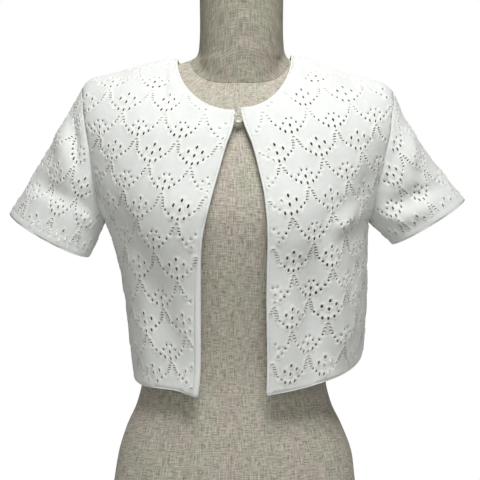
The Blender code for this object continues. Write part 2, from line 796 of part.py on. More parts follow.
def main():
    for item in list(bpy.data.objects):
        bpy.data.objects.remove(item)
    bpy.context.scene.collection.children.link(bpy.data.collections.new("Cardigan"))
    jersey = material("White pointelle jersey", (0.86, 0.87, 0.85), 0.85)
    plain = material("White plain jersey", (0.83, 0.84, 0.81), 0.85)
    linen = material("Slubby linen", (0.44, 0.40, 0.33), 0.9)
    wood = material("Pale wood", (0.55, 0.42, 0.28), 0.5)
    pearl = material("Pearl", (0.62, 0.62, 0.52), 0.25)
    thread = material("White thread", (0.85, 0.85, 0.82), 0.8)
    make_form(linen, wood)
    make_cardigan(jersey, plain)
    make_button(pearl, thread)


main()
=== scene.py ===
"""The looks of a cropped pointelle cardigan on a dress form: cloth, linen, button, floor and light.

Metres, +Z up, the front towards -Y, the wearer's left at +X, as in the frame. Tables are in
millimetres. The cloth is laid out flat in two coordinates, across and up the knitting, where its
eyelets are cut, and is then carried onto the garment's shape.
"""
import json
import math
from collections import namedtuple

import bmesh
import bpy
from mathutils import Vector, kdtree, noise
from mathutils.bvhtree import BVHTree
from mathutils.geometry import barycentric_transform, delaunay_2d_cdt
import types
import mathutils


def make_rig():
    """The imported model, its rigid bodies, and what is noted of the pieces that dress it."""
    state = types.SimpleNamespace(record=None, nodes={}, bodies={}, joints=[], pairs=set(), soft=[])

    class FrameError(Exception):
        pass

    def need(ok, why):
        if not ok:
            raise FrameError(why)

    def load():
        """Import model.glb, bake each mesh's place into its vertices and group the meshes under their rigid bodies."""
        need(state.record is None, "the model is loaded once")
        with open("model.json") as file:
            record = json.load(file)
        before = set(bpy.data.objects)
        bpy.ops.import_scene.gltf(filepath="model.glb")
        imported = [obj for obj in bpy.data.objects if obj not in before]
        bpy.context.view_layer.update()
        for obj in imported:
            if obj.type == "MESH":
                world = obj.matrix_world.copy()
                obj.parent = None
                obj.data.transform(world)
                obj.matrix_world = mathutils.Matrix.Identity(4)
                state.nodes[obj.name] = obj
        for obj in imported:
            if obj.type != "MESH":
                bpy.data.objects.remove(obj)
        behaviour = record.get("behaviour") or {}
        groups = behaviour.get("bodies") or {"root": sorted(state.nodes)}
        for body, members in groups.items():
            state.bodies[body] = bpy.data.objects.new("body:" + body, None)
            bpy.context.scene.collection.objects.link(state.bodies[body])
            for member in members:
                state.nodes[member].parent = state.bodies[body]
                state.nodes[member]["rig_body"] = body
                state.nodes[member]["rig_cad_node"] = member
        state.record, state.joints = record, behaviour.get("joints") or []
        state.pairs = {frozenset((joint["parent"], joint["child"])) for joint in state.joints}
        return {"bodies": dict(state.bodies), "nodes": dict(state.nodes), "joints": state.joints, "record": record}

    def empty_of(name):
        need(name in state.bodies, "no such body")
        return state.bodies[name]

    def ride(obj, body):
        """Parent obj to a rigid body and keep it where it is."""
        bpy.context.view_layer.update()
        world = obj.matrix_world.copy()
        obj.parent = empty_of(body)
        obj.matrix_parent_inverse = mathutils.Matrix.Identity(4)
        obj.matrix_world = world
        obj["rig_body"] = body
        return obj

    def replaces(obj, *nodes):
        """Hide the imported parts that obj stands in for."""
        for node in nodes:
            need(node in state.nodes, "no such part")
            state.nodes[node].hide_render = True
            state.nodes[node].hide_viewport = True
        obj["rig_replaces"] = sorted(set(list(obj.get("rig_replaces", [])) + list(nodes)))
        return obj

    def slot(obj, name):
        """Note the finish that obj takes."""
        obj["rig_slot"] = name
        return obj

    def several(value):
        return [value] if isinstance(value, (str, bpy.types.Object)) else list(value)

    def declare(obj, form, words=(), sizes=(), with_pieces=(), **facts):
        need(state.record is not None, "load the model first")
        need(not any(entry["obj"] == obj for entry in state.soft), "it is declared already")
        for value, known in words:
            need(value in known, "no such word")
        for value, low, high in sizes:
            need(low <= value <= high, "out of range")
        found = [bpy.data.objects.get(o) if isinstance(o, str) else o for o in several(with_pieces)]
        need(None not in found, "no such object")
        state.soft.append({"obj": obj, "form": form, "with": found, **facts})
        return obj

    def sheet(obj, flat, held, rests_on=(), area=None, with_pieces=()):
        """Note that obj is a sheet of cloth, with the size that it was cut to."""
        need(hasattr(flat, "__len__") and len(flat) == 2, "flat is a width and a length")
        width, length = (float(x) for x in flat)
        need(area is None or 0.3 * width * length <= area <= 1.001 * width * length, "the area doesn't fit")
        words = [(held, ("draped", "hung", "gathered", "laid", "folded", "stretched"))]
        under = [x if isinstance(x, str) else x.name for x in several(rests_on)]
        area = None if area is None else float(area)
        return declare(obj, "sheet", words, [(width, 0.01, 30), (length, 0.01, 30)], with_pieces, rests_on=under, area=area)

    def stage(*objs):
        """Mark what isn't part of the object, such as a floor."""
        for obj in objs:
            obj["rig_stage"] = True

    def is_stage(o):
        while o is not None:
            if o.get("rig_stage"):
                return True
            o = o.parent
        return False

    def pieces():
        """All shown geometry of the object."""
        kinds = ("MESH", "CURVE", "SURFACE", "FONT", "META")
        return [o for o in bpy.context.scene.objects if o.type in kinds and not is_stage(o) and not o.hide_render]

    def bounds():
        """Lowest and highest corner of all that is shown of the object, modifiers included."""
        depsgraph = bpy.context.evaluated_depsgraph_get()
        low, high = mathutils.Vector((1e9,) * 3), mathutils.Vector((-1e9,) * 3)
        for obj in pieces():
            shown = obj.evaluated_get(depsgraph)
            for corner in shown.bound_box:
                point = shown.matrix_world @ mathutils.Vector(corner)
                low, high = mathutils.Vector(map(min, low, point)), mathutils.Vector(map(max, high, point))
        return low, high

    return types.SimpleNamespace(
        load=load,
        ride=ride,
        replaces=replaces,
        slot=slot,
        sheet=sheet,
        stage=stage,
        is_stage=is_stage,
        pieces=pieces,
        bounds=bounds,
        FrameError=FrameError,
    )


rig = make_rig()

bl_info = {
    "name": "Pointelle cardigan",
    "version": (1, 0, 0),
    "blender": (4, 5, 0),
    "location": "3D View > Sidebar > Cardigan",
    "description": "A short-sleeved pointelle cardigan on a dress form covered in linen",
    "category": "Object",
}

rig.load()
CAD_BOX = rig.bounds()

MM = 0.001
RIGHT = -1
LEFT = 1
FRONT = -1
BACK = 1


def table(kind, *rows):
    """Rows of values as named tuples of one kind."""
    return tuple(kind(*row) for row in rows)


# The cardigan's sizes, as in the model that the frame holds
FACING_WIDTH = 18 * MM
UNDERARM = 407 * MM
YOKE = 500 * MM
ARMHOLE_TOP = 566 * MM
ARMHOLE_MIDDLE = (UNDERARM + ARMHOLE_TOP) / 2
ARMHOLE_FRONT = 46 * MM
ARMHOLE_BACK = 50 * MM
FRONT_NECK_Y = -80 * MM
BACK_NECK_Y = 70 * MM
BACK_NECK_HEIGHT = 587 * MM
NECK_SIDE_Y = 8 * MM
NECK_SHARE = 0.56
NECK_ROUNDNESS = 0.7
NECK_PULL = 0.8
PULL_SLACK = 0.5
NECK_RISE = {FRONT: 1.0, BACK: 0.8}
RISE_UP = 0.9
RISE_OUT = 0.55
SHOULDER_FULLNESS = {FRONT: 0.95, BACK: 1.4}
SEAM_FADE = 0.112
SLEEVE_FADE = 1 / 6
SIDE_FADE = 1.4

# Rows and columns of the grids that carry the cloth
HEM_ROWS = 60
SIDE_ROWS = 36
YOKE_ROWS = 44
COLUMNS = 60
SLEEVE_ROWS = 48
SLEEVE_LOOP_ROWS = (6, 7)

Section = namedtuple("Section", "height right left front back square")
CLOTH = table(
    Section,
    (195, 121.0, 148.0, 101, 92, 2.3),
    (235, 123.0, 149.5, 102, 93, 2.3),
    (264, 126.6, 152.4, 104, 95, 2.3),
    (312, 132.0, 156.0, 108, 99, 2.3),
    (360, 140.5, 156.5, 115, 103, 2.3),
    (388, 149.0, 157.0, 118, 105, 2.3),
    (407, 156.0, 158.5, 118, 107, 2.3),
    (460, 168.0, 170.0, 108, 111, 2.4),
    (500, 174.0, 179.0, 95, 108, 2.4),
    (535, 180.0, 188.0, 80, 99, 2.4),
)
Seam = namedtuple("Seam", "height right left")
ARMHOLE = table(
    Seam,
    (407, 156.0, 158.5),
    (418, 160.0, 161.5),
    (444, 166.0, 166.5),
    (470, 169.5, 173.0),
    (500, 174.0, 179.0),
    (535, 182.0, 188.0),
)
Ridge = namedtuple("Ridge", "across height")
SHOULDER = {
    RIGHT: table(Ridge, (71, 603), (84, 601.5), (132, 588.5), (165, 580), (178, 573.5), (185, 565)),
    LEFT: table(Ridge, (67, 608), (82, 602.5), (108, 593), (134, 583.5), (160, 577.5), (174, 573.6),
                (182, 568.5), (189, 561)),
}
Edge = namedtuple("Edge", "height right left")
FRONT_EDGE = table(
    Edge,
    (203, 47.0, 36.2),
    (236, 44.2, 36.9),
    (316, 43.6, 36.0),
    (378, 39.3, 36.7),
    (431, 28.4, 33.5),
    (463, 20.1, 27.5),
    (495, 11.2, 19.5),
    (516, 3.5, 10.8),
    (535, 2.1, 7.1),
)
NECK_CORNER_HEIGHT = {RIGHT: 532.5 * MM, LEFT: 535.5 * MM}
Hem = namedtuple("Hem", "share right left")
FRONT_HEM = table(
    Hem,
    (0.0, 234, 257),
    (0.15, 222, 246),
    (0.45, 215, 228),
    (0.8, 213, 214),
    (1.0, 206, 208),
)
BACK_HEM = table(
    Hem,
    (0.0, 234, 257),
    (0.2, 229, 245),
    (0.6, 227, 231),
    (1.0, 228, 228),
)
Fold = namedtuple("Fold", "face from_x from_z to_x to_z width height")
FOLDS = table(
    Fold,
    (FRONT, -104, 368, -62, 214, 22, -8),
    (FRONT, -122, 380, -104, 230, 14, 4),
    (FRONT, 104, 392, 124, 226, 17, 9),
    (FRONT, 82, 384, 92, 216, 15, -7),
    (FRONT, 154, 420, 98, 390, 11, 7),
    (FRONT, -152, 428, -104, 352, 13, -5),
    (FRONT, 60, 350, 58, 204, 18, 4),
    (BACK, -108, 404, -90, 220, 20, -7),
    (BACK, 104, 408, 104, 220, 20, -7),
    (BACK, 6, 400, 2, 216, 26, 6),
    (BACK, -150, 424, -84, 388, 14, 5),
    (BACK, 152, 426, 88, 392, 14, 5),
    (FRONT, -208, 540, -200, 450, 11, 6),
    (FRONT, -196, 545, -186, 460, 8, -4),
    (FRONT, -244, 462, -170, 412, 10, -6),
    (FRONT, 208, 530, 204, 440, 11, 6),
    (FRONT, 252, 452, 176, 424, 10, -6),
    (FRONT, 236, 426, 178, 402, 9, 4),
    (BACK, -212, 536, -196, 444, 12, 6),
    (BACK, -240, 452, -170, 412, 10, -6),
    (BACK, 212, 530, 202, 440, 12, 6),
    (BACK, 250, 450, 176, 418, 10, -6),
)
Swelling = namedtuple("Swelling", "face x z radius height")
CLOTH_SWELLINGS = table(
    Swelling,
    (FRONT, -67, 410, 42, 8),
    (FRONT, 68, 410, 42, 8),
    (BACK, -58, 455, 42, 3),
    (BACK, 58, 455, 42, 3),
)
Sleeve = namedtuple("Sleeve", "x y z half depth slope pitch top under end")
SLEEVES = {
    RIGHT: Sleeve(222.7, -4, 390.6, 54, 41, 28.5, 10, 27, 27, 31),
    LEFT: Sleeve(229.7, -4, 406.3, 51, 40, 31.6, 6, 18, 36, 39),
}

# Fine creases that the model leaves out, in the same form as the folds
CREASES = table(
    Fold,
    (FRONT, -150, 446, -118, 402, 5, -1.6),
    (FRONT, -140, 410, -110, 372, 5, 1.4),
    (FRONT, 150, 438, 120, 402, 5, 1.6),
    (FRONT, 146, 424, 112, 374, 5, -1.6),
    (FRONT, 140, 352, 132, 262, 6, 1.6),
    (FRONT, 168, 492, 132, 404, 9, -2.8),
    (FRONT, -192, 528, -186, 468, 4, -1.8),
    (FRONT, -200, 528, -195, 466, 4, 1.6),
    (FRONT, -248, 450, -210, 435, 6, -1.8),
    (FRONT, -192, 448, -160, 402, 5, -2.0),
    (FRONT, -204, 436, -166, 396, 5, 2.0),
    (FRONT, 188, 508, 166, 424, 9, -3.0),
    (FRONT, 162, 418, 208, 402, 5, 2.2),
    (FRONT, 164, 434, 214, 420, 6, -2.2),
    (FRONT, 196, 470, 236, 452, 6, -1.8),
    (FRONT, -118, 330, -112, 240, 6, -1.4),
    (BACK, -140, 440, -100, 400, 5, -1.4),
    (BACK, 140, 440, 100, 400, 5, -1.4),
)

# How steeply the knitted courses rise away from the front edge or the middle back
COURSE_SLOPE = {(RIGHT, FRONT): 0.05, (LEFT, FRONT): 0.12, (RIGHT, BACK): 0.0, (LEFT, BACK): 0.0}

# The pointelle repeat, in millimetres across and up from the middle of its flower
REPEAT_WIDTH = 49
REPEAT_HEIGHT = 66
Eyelet = namedtuple("Eyelet", "across up width height")


def mirrored(*rows):
    """A chart of eyelets, each one off the middle followed by its mirror image."""
    chart = []
    for across, *rest in rows:
        chart += [Eyelet(across * side, *rest) for side in ((1, -1) if across else (1,))]
    return tuple(chart)


FLOWER = mirrored(
    (0, 0, 2.2, 3.8),
    (0, 11, 2.2, 3.8),
    (8, 4.9, 2.2, 3.8),
    (6.4, -8.9, 2.0, 3.7),
    (0, -10.1, 2.0, 3.6),
    (11.4, -4.4, 2.0, 2.6),
    (16, -0.5, 1.9, 2.4),
    (19.2, 3.2, 2.8, 0.9),
    (20.4, 6.6, 3.4, 0.8),
    (21.3, 10.0, 3.4, 0.8),
    (21.9, 13.4, 2.9, 0.8),
    (0, -15.2, 3.2, 0.8),
)
LEAF = mirrored(
    (0, 0, 2.2, 3.8),
    (0, -9.1, 2.0, 3.6),
    (6.8, -7.3, 2.0, 3.7),
    (3, 8.3, 1.8, 2.3),
    (7.4, 3, 1.9, 2.3),
    (11.6, -3.3, 2.0, 2.6),
    (15.7, 2, 1.9, 2.3),
    (19.3, 7, 1.7, 2.1),
    (20.9, 10.4, 3.4, 0.8),
    (21.8, 13.8, 2.9, 0.8),
    (0, -15.4, 3.2, 0.8),
)

# Where the repeat falls on each panel. At each height of the knitting this gives the height on the
# flat cloth, the distance of the first column of flowers from the front edge or the middle, the
# width of a repeat and the rise of its courses.
Band = namedtuple("Band", "row up first width slope")
FRONT_BANDS = {
    RIGHT: table(
        Band,
        (-264, -277.5, 5.0, 53.0, -0.09),
        (-231, -253.0, 11.0, 53.0, -0.09),
        (-198, -220.0, 17.0, 53.3, -0.09),
        (-165, -192.0, 22.5, 53.0, -0.08),
        (-132, -157.0, 25.5, 53.0, -0.06),
        (-99, -125.0, 29.5, 52.5, 0.0),
        (-66, -89.4, 30.0, 51.5, 0.07),
        (-33, -57.5, 31.0, 51.0, 0.06),
        (0, -24.0, 31.5, 50.0, 0.045),
        (33, 8.0, 29.5, 50.0, 0.0),
        (66, 48.0, 21.0, 51.0, -0.06),
        (132, 114.0, 8.0, 51.0, -0.06),
    ),
    LEFT: table(
        Band,
        (-264, -277.1, 25.5, 44.0, 0.05),
        (-231, -248.0, 27.0, 44.0, 0.05),
        (-198, -213.0, 27.5, 44.0, 0.08),
        (-165, -184.0, 30.5, 44.3, 0.04),
        (-132, -148.5, 29.0, 45.0, 0.0),
        (-99, -117.4, 28.0, 48.4, 0.02),
        (-66, -84.0, 25.5, 52.0, 0.06),
        (-33, -54.0, 24.2, 52.0, 0.05),
        (0, -22.0, 24.0, 51.0, 0.05),
        (33, 10.5, 21.5, 51.0, 0.02),
        (66, 49.0, 14.7, 52.0, -0.02),
        (132, 115.0, 4.0, 52.0, -0.02),
    ),
}
BACK_BANDS = (Band(-264, -286, 0, 51, 0), Band(132, 110, 0, 51, 0))
SLEEVE_BANDS = {
    RIGHT: (Band(-132, -57.6, -4, 51, 0), Band(132, 206.4, -4, 51, 0)),
    LEFT: (Band(-132, -59.4, 6, 51, 0), Band(132, 204.6, 6, 51, 0)),
}


def curve_value(rows, column, at):
    """Value of a column where the first column is `at`, on a smooth curve that never overshoots."""
    places = [row[0] for row in rows]
    values = [getattr(row, column) for row in rows]
    if at <= places[0]:
        return values[0]
    if at >= places[-1]:
        return values[-1]
    last = len(places) - 1
    steps = [(values[i + 1] - values[i]) / (places[i + 1] - places[i]) for i in range(last)]

    def slope(i):
        if i == 0:
            return steps[0]
        if i == last:
            return steps[-1]
        before, after = steps[i - 1], steps[i]
        return 2 * before * after / (before + after) if before * after > 0 else 0.0

    i = max(k for k in range(last) if places[k] <= at)
    span = places[i + 1] - places[i]
    t = (at - places[i]) / span
    return (
        (2 * t**3 - 3 * t**2 + 1) * values[i]
        + (t**3 - 2 * t**2 + t) * span * slope(i)
        + (3 * t**2 - 2 * t**3) * values[i + 1]
        + (t**3 - t**2) * span * slope(i + 1)
    )


def smooth_step(share):
    """A share between 0 and 1, eased at both ends."""
    share = max(0.0, min(1.0, share))
    return share * share * (3 - 2 * share)


def side_name(side):
    return "right" if side == RIGHT else "left"


# The garment's surface
def swelling_height(swellings, face, x, z):
    """How far a point seen at (x, z) from the front or back is lifted by the swellings."""
    lift = 0.0
    for swelling in swellings:
        if swelling.face == face:
            away = math.hypot(x / MM - swelling.x, z / MM - swelling.z) / swelling.radius
            lift += swelling.height * MM * math.exp(-away * away)
    return lift


def fold_height(folds, face, x, z):
    """How far a point of the cloth seen at (x, z) is lifted by the folds."""
    lift = 0.0
    at = Vector((x, z))
    for fold in folds:
        if fold.face == face:
            start = Vector((fold.from_x, fold.from_z)) * MM
            run = Vector((fold.to_x, fold.to_z)) * MM - start
            share = (at - start).dot(run) / run.length_squared
            if 0 < share < 1:
                away = (at - start - run * share).length / (fold.width * MM)
                lift += fold.height * MM * math.exp(-away * away) * math.sin(math.pi * share)
    return lift


def armhole_depth(face, height):
    """How far in front of or behind the side the armhole seam lies at a height."""
    share = max(-1.0, min(1.0, (height - ARMHOLE_MIDDLE) / (ARMHOLE_TOP - ARMHOLE_MIDDLE)))
    reach = ARMHOLE_FRONT if face == FRONT else ARMHOLE_BACK
    return reach * math.sqrt(1 - share * share)


def armhole_levels(rows):
    """Heights from the underarm to the yoke, closest together at the underarm."""
    half = ARMHOLE_TOP - ARMHOLE_MIDDLE
    last_turn = math.acos((ARMHOLE_MIDDLE - YOKE) / half)
    return [ARMHOLE_MIDDLE - half * math.cos(last_turn * row / rows) for row in range(rows + 1)]


def ring_curve(side, face, height, samples=28):
    """The cloth's outline at a height, from the side seam or armhole to the front edge or the
    middle back."""
    at = height / MM
    depth = curve_value(CLOTH, "front" if face == FRONT else "back", at) * MM
    square = curve_value(CLOTH, "square", at)
    half = curve_value(CLOTH, side_name(side), at) * MM
    start, end = 0.0, math.pi / 2
    if height > UNDERARM:
        seam_y = armhole_depth(face, height) / depth
        across = curve_value(ARMHOLE, side_name(side), at) * MM
        half = across / (1 - seam_y**square) ** (1 / square)
        start = math.asin(seam_y ** (square / 2))
    if face == FRONT:
        edge = curve_value(FRONT_EDGE, side_name(side), at) * MM
        end = math.acos((edge / half) ** (square / 2))
    points = []
    for i in range(samples + 1):
        angle = start + (end - start) * i / samples
        x = side * half * abs(math.cos(angle)) ** (2 / square)
        y = face * depth * abs(math.sin(angle)) ** (2 / square)
        points.append(Vector((x, y, height)))
    return points


def at_share(points, share):
    """The point at a share of the length of a line through the given points."""
    lengths = [(b - a).length for a, b in zip(points, points[1:])]
    left = share * sum(lengths)
    for a, b, length in zip(points, points[1:], lengths):
        if left <= length:
            return a.lerp(b, left / length)
        left -= length
    return points[-1].copy()


def top_point(side, face, share):
    """The upper edge of a panel: the shoulder seam from the tip in, and then the neckline."""
    ridge = SHOULDER[side]
    if share <= NECK_SHARE:
        across = ridge[-1].across + (ridge[0].across - ridge[-1].across) * share / NECK_SHARE
        y = NECK_SIDE_Y * share / NECK_SHARE
        return Vector((side * across * MM, y, curve_value(ridge, "height", across) * MM))
    turn = (share - NECK_SHARE) / (1 - NECK_SHARE) * math.pi / 2
    neck_x = ridge[0].across * MM
    neck_z = ridge[0].height * MM
    end_x, end_y, end_z = 0.0, BACK_NECK_Y, BACK_NECK_HEIGHT
    if face == FRONT:
        end_x = getattr(FRONT_EDGE[-1], side_name(side)) * MM
        end_y, end_z = FRONT_NECK_Y, NECK_CORNER_HEIGHT[side]
    x = end_x + (neck_x - end_x) * math.cos(turn)
    y = NECK_SIDE_Y + (end_y - NECK_SIDE_Y) * math.sin(turn) ** NECK_ROUNDNESS
    return Vector((side * x, y, neck_z + (end_z - neck_z) * math.sin(turn)))


def yoke_curve(side, face, share):
    """The ends, ways and reaches of the rounded line from the yoke to the upper edge."""
    low = at_share(ring_curve(side, face, YOKE), share)
    high = top_point(side, face, share)
    below = at_share(ring_curve(side, face, YOKE - 2 * MM), share)
    start_way = (low - below).normalized()
    turn = max(0.0, (share - NECK_SHARE) / (1 - NECK_SHARE)) * math.pi / 2
    over = NECK_RISE[face] * math.sin(turn)
    inward = NECK_PULL * min(1.0, share / NECK_SHARE) ** 4 * math.cos(turn)
    end_way = Vector((-side * inward, -face * (1 - RISE_OUT * over), RISE_UP * over)).normalized()
    chord = (high - low).length
    fullness = SHOULDER_FULLNESS[face] - PULL_SLACK * inward
    return low, start_way * chord, high, end_way * fullness * chord


def hermite(curve, r):
    """The point at a share r of a curve, given by its ends and its ways there."""
    low, start, high, end = curve
    return (
        low * (2 * r**3 - 3 * r**2 + 1)
        + start * (r**3 - 2 * r**2 + r)
        + high * (3 * r**2 - 2 * r**3)
        + end * (r**3 - r**2)
    )


def half_rows(side, face):
    """Rows of points of half a panel, from the hem up, each from the side in. The second list
    holds each row's distance below the upper edge."""
    shares = [c / COLUMNS for c in range(COLUMNS + 1)]
    hem = FRONT_HEM if face == FRONT else BACK_HEM
    lows = [curve_value(hem, side_name(side), share) * MM for share in shares]
    rows = []
    for row in range(HEM_ROWS):
        rows.append([
            at_share(ring_curve(side, face, low + (UNDERARM - low) * row / HEM_ROWS), share)
            for share, low in zip(shares, lows)
        ])
    for level in armhole_levels(SIDE_ROWS)[:-1]:
        ring = ring_curve(side, face, level)
        rows.append([at_share(ring, share) for share in shares])
    curves = [yoke_curve(side, face, share) for share in shares]
    for row in range(YOKE_ROWS + 1):
        rows.append([hermite(curve, row / YOKE_ROWS) for curve in curves])
    return rows


def grid_ways(rows, sign):
    """The outward direction at each point of a grid."""
    ways = []
    top, last = len(rows) - 1, len(rows[0]) - 1
    for r, row in enumerate(rows):
        line = []
        for c in range(len(row)):
            across = row[min(c + 1, last)] - row[max(c - 1, 0)]
            up = rows[min(r + 1, top)][c] - rows[max(r - 1, 0)][c]
            line.append((across.cross(up) * sign).normalized())
        ways.append(line)
    return ways


# A grid of points with its outward directions and its places on the flat cloth, both in metres
Surface = namedtuple("Surface", "points ways flats")


def half_surface(side, face):
    """Half a panel with its folds, laid flat from the front edge or the middle back outwards."""
    rows = half_rows(side, face)
    ways = grid_ways(rows, side * face)
    folded = []
    for r, (row, line) in enumerate(zip(rows, ways)):
        moved = []
        for c, (point, way) in enumerate(zip(row, line)):
            share = c / COLUMNS
            below_top = (rows[-1][c] - point).length
            fade = min(1.0, SIDE_FADE * abs(way.y)) * smooth_step(below_top / FACING_WIDTH)
            fade *= smooth_step(share / SEAM_FADE)
            lift = fold_height(FOLDS + CREASES, face, point.x, point.z)
            lift += swelling_height(CLOTH_SWELLINGS, face, point.x, point.z)
            moved.append(point + way * fade * lift)
        folded.append(moved)
    yoke = HEM_ROWS + SIDE_ROWS
    flats = [[None] * (COLUMNS + 1) for _ in rows]
    outs = []
    for row in rows[:yoke + 1]:
        away = [0.0] * (COLUMNS + 1)
        for c in range(COLUMNS - 1, -1, -1):
            away[c] = away[c + 1] + (row[c] - row[c + 1]).length
        outs.append(away)
    slope = COURSE_SLOPE[side, face]
    for c in range(COLUMNS + 1):
        up = -outs[yoke][c] * slope
        for r in range(yoke, -1, -1):
            if r < yoke:
                up -= (rows[r + 1][c] - rows[r][c]).length
            flats[r][c] = Vector((-face * side * outs[r][c], up))
        up = -outs[yoke][c] * slope
        for r in range(yoke + 1, len(rows)):
            up += (rows[r][c] - rows[r - 1][c]).length
            flats[r][c] = Vector((-face * side * outs[yoke][c], up))
    return Surface(folded, grid_ways(folded, side * face), flats)


def back_surface():
    """The whole back, from its left side to its right side."""
    left = half_surface(LEFT, BACK)
    right = half_surface(RIGHT, BACK)
    return Surface(*([a + b[-2::-1] for a, b in zip(one, other)] for one, other in zip(left, right)))


def armhole_line(side, face, side_rows, yoke_rows):
    """The armhole seam of the front or back, from the underarm to the shoulder's tip."""
    line = [ring_curve(side, face, level)[0] for level in armhole_levels(side_rows)]
    curve = yoke_curve(side, face, 0.0)
    return line + [hermite(curve, row / yoke_rows) for row in range(1, yoke_rows + 1)]


def sleeve_surface(side):
    """A sleeve with its folds, laid flat from its underarm seam all round."""
    shape = SLEEVES[side]
    slope = math.radians(shape.slope)
    pitch = math.radians(shape.pitch)
    outward = Vector((side * math.cos(slope), 0, math.sin(slope)))
    forward = Vector((0, -math.cos(pitch), -math.sin(pitch)))
    centre = Vector((side * shape.x, shape.y, shape.z)) * MM

    def lean(degrees):
        angle = math.radians(degrees)
        return Vector((side * math.sin(angle), 0, -math.cos(angle)))

    axis = lean(shape.end)
    across = Vector((-axis.z, 0, axis.x)) * side
    coarse = armhole_line(side, FRONT, *SLEEVE_LOOP_ROWS)
    coarse += armhole_line(side, BACK, *SLEEVE_LOOP_ROWS)[-2:0:-1]
    middle = sum(coarse, Vector()) / len(coarse)
    loop = armhole_line(side, FRONT, SIDE_ROWS, YOKE_ROWS)
    loop += armhole_line(side, BACK, SIDE_ROWS, YOKE_ROWS)[-2::-1]
    rows = [[] for _ in range(SLEEVE_ROWS + 1)]
    for point in loop:
        away = point - middle
        turn = math.atan2(-away.y / shape.depth, away.dot(across) / shape.half)
        end = centre + outward * shape.half * MM * math.cos(turn)
        end += forward * shape.depth * MM * math.sin(turn)
        start_way = lean(shape.under).lerp(lean(shape.top), (1 + math.cos(turn)) / 2)
        chord = (end - point).length
        curve = (point, start_way * chord, end, lean(shape.end) * chord)
        for row in range(SLEEVE_ROWS + 1):
            rows[SLEEVE_ROWS - row].append(hermite(curve, row / SLEEVE_ROWS))
    ways = closed_ways(rows, side)
    folded = []
    for r, (row, line) in enumerate(zip(rows, ways)):
        hold = smooth_step((1 - r / SLEEVE_ROWS) / SLEEVE_FADE)
        moved = []
        for point, way in zip(row, line):
            face = FRONT if way.y < 0 else BACK
            lift = fold_height(FOLDS + CREASES, face, point.x, point.z)
            moved.append(point + way * min(1.0, SIDE_FADE * abs(way.y)) * hold * lift)
        folded.append(moved)
    hem, head = running_length(rows[0]), running_length(rows[-1])
    flats = [[None] * len(loop) for _ in rows]
    for c in range(len(loop)):
        out = (hem[c] - hem[-1] / 2 + head[c] - head[-1] / 2) / 2
        up = 0.0
        for r in range(len(rows)):
            if r:
                up += (rows[r][c] - rows[r - 1][c]).length
            flats[r][c] = Vector((side * out, up))
    return Surface(folded, closed_ways(folded, side), flats)


def running_length(points):
    """The distance along a line of points from its first point to each."""
    lengths = [0.0]
    for a, b in zip(points, points[1:]):
        lengths.append(lengths[-1] + (b - a).length)
    return lengths


def grid_faces(rows, columns, closed=False):
    """The faces of a grid of points. A closed grid's last column joins its first."""
    faces = []
    for r in range(rows - 1):
        for c in range(columns if closed else columns - 1):
            a, b = r * columns + c, r * columns + (c + 1) % columns
            faces.append((a, b, b + columns, a + columns))
    return faces


def closed_ways(rows, sign):
    """The outward directions on a tube whose last column repeats its first."""
    ways = grid_ways(rows, sign)
    top = len(rows) - 1
    for r, row in enumerate(rows):
        up = rows[min(r + 1, top)][0] - rows[max(r - 1, 0)][0]
        way = ((row[1] - row[-2]).cross(up) * sign).normalized()
        ways[r][0] = ways[r][-1] = way
    return ways


# Cutting and finishing of the cloth
EDGE_DROP = -0.12 * MM
EDGE_STEP = 0.6 * MM
ROLL_PROUD = 0.25 * MM
ROLL_UNDER = 0.8
ROLL_STEPS = 10
FACING_DEPTHS = (1.4 * MM, 2.6 * MM)
FACING_STEPS = 6
NECK_ROLL_DEPTH = 2.8 * MM
NECK_ROLL_WIDTH = 1.5 * MM
EDGE_ROLL_GROWTH = 2.5 * MM
EDGE_ROLL_TOP = 378 * MM
EDGE_ROLL_FADE = 60 * MM
EDGE_SWELL = 0.6
HEM_ROLL_DEPTH = 1.8 * MM
HEM_ROLL_WIDTH = 0.8 * MM
SEAM_ROLL_DEPTH = 1.2 * MM
SEAM_ROLL_WIDTH = 1.0 * MM
EDGE_MARGIN = 3 * MM
HEM_MARGIN = 7 * MM
EYELET_SCALE = 1.18
EYELET_LEANS = {RIGHT: 0.12, LEFT: -0.05}
HEM_RAISE = 0.22 * MM
HEM_LINE_HALF = 0.6 * MM
HEM_LINE_SPACE = 1.2 * MM
HEM_LINE_CLEAR = 0.7
WRINKLE_SIZE = 28 * MM
WRINKLE_SEEDS = {
    "back": 3.0, "front_right": -7.0, "front_left": 7.0, "sleeve_right": 19.0, "sleeve_left": 21.0}
FIELD_STEP = 4.0 * MM
FIELD_ROW_STEP = FIELD_STEP * 0.87
FIELD_SPACE = 1.7 * MM
INSIDE_ONLY = 1
CUT_TOLERANCE = 1e-7
LARGE_EYELET_STEPS = 8
EYELET_STEPS = ((2.5 * MM, 6), (3.2 * MM, 7), (math.inf, LARGE_EYELET_STEPS))
# Each ring round an eyelet: how far out it lies, how proud it stands, and how strongly it takes the painted highlight
# that colours the raised rims lighter than the cloth
Rim = namedtuple("Rim", "grow lift lace")
RIMS = table(Rim, (0.0, -0.6, 0.0), (0.5, 0.85, 1.0), (1.5, 0.0, 0.6))


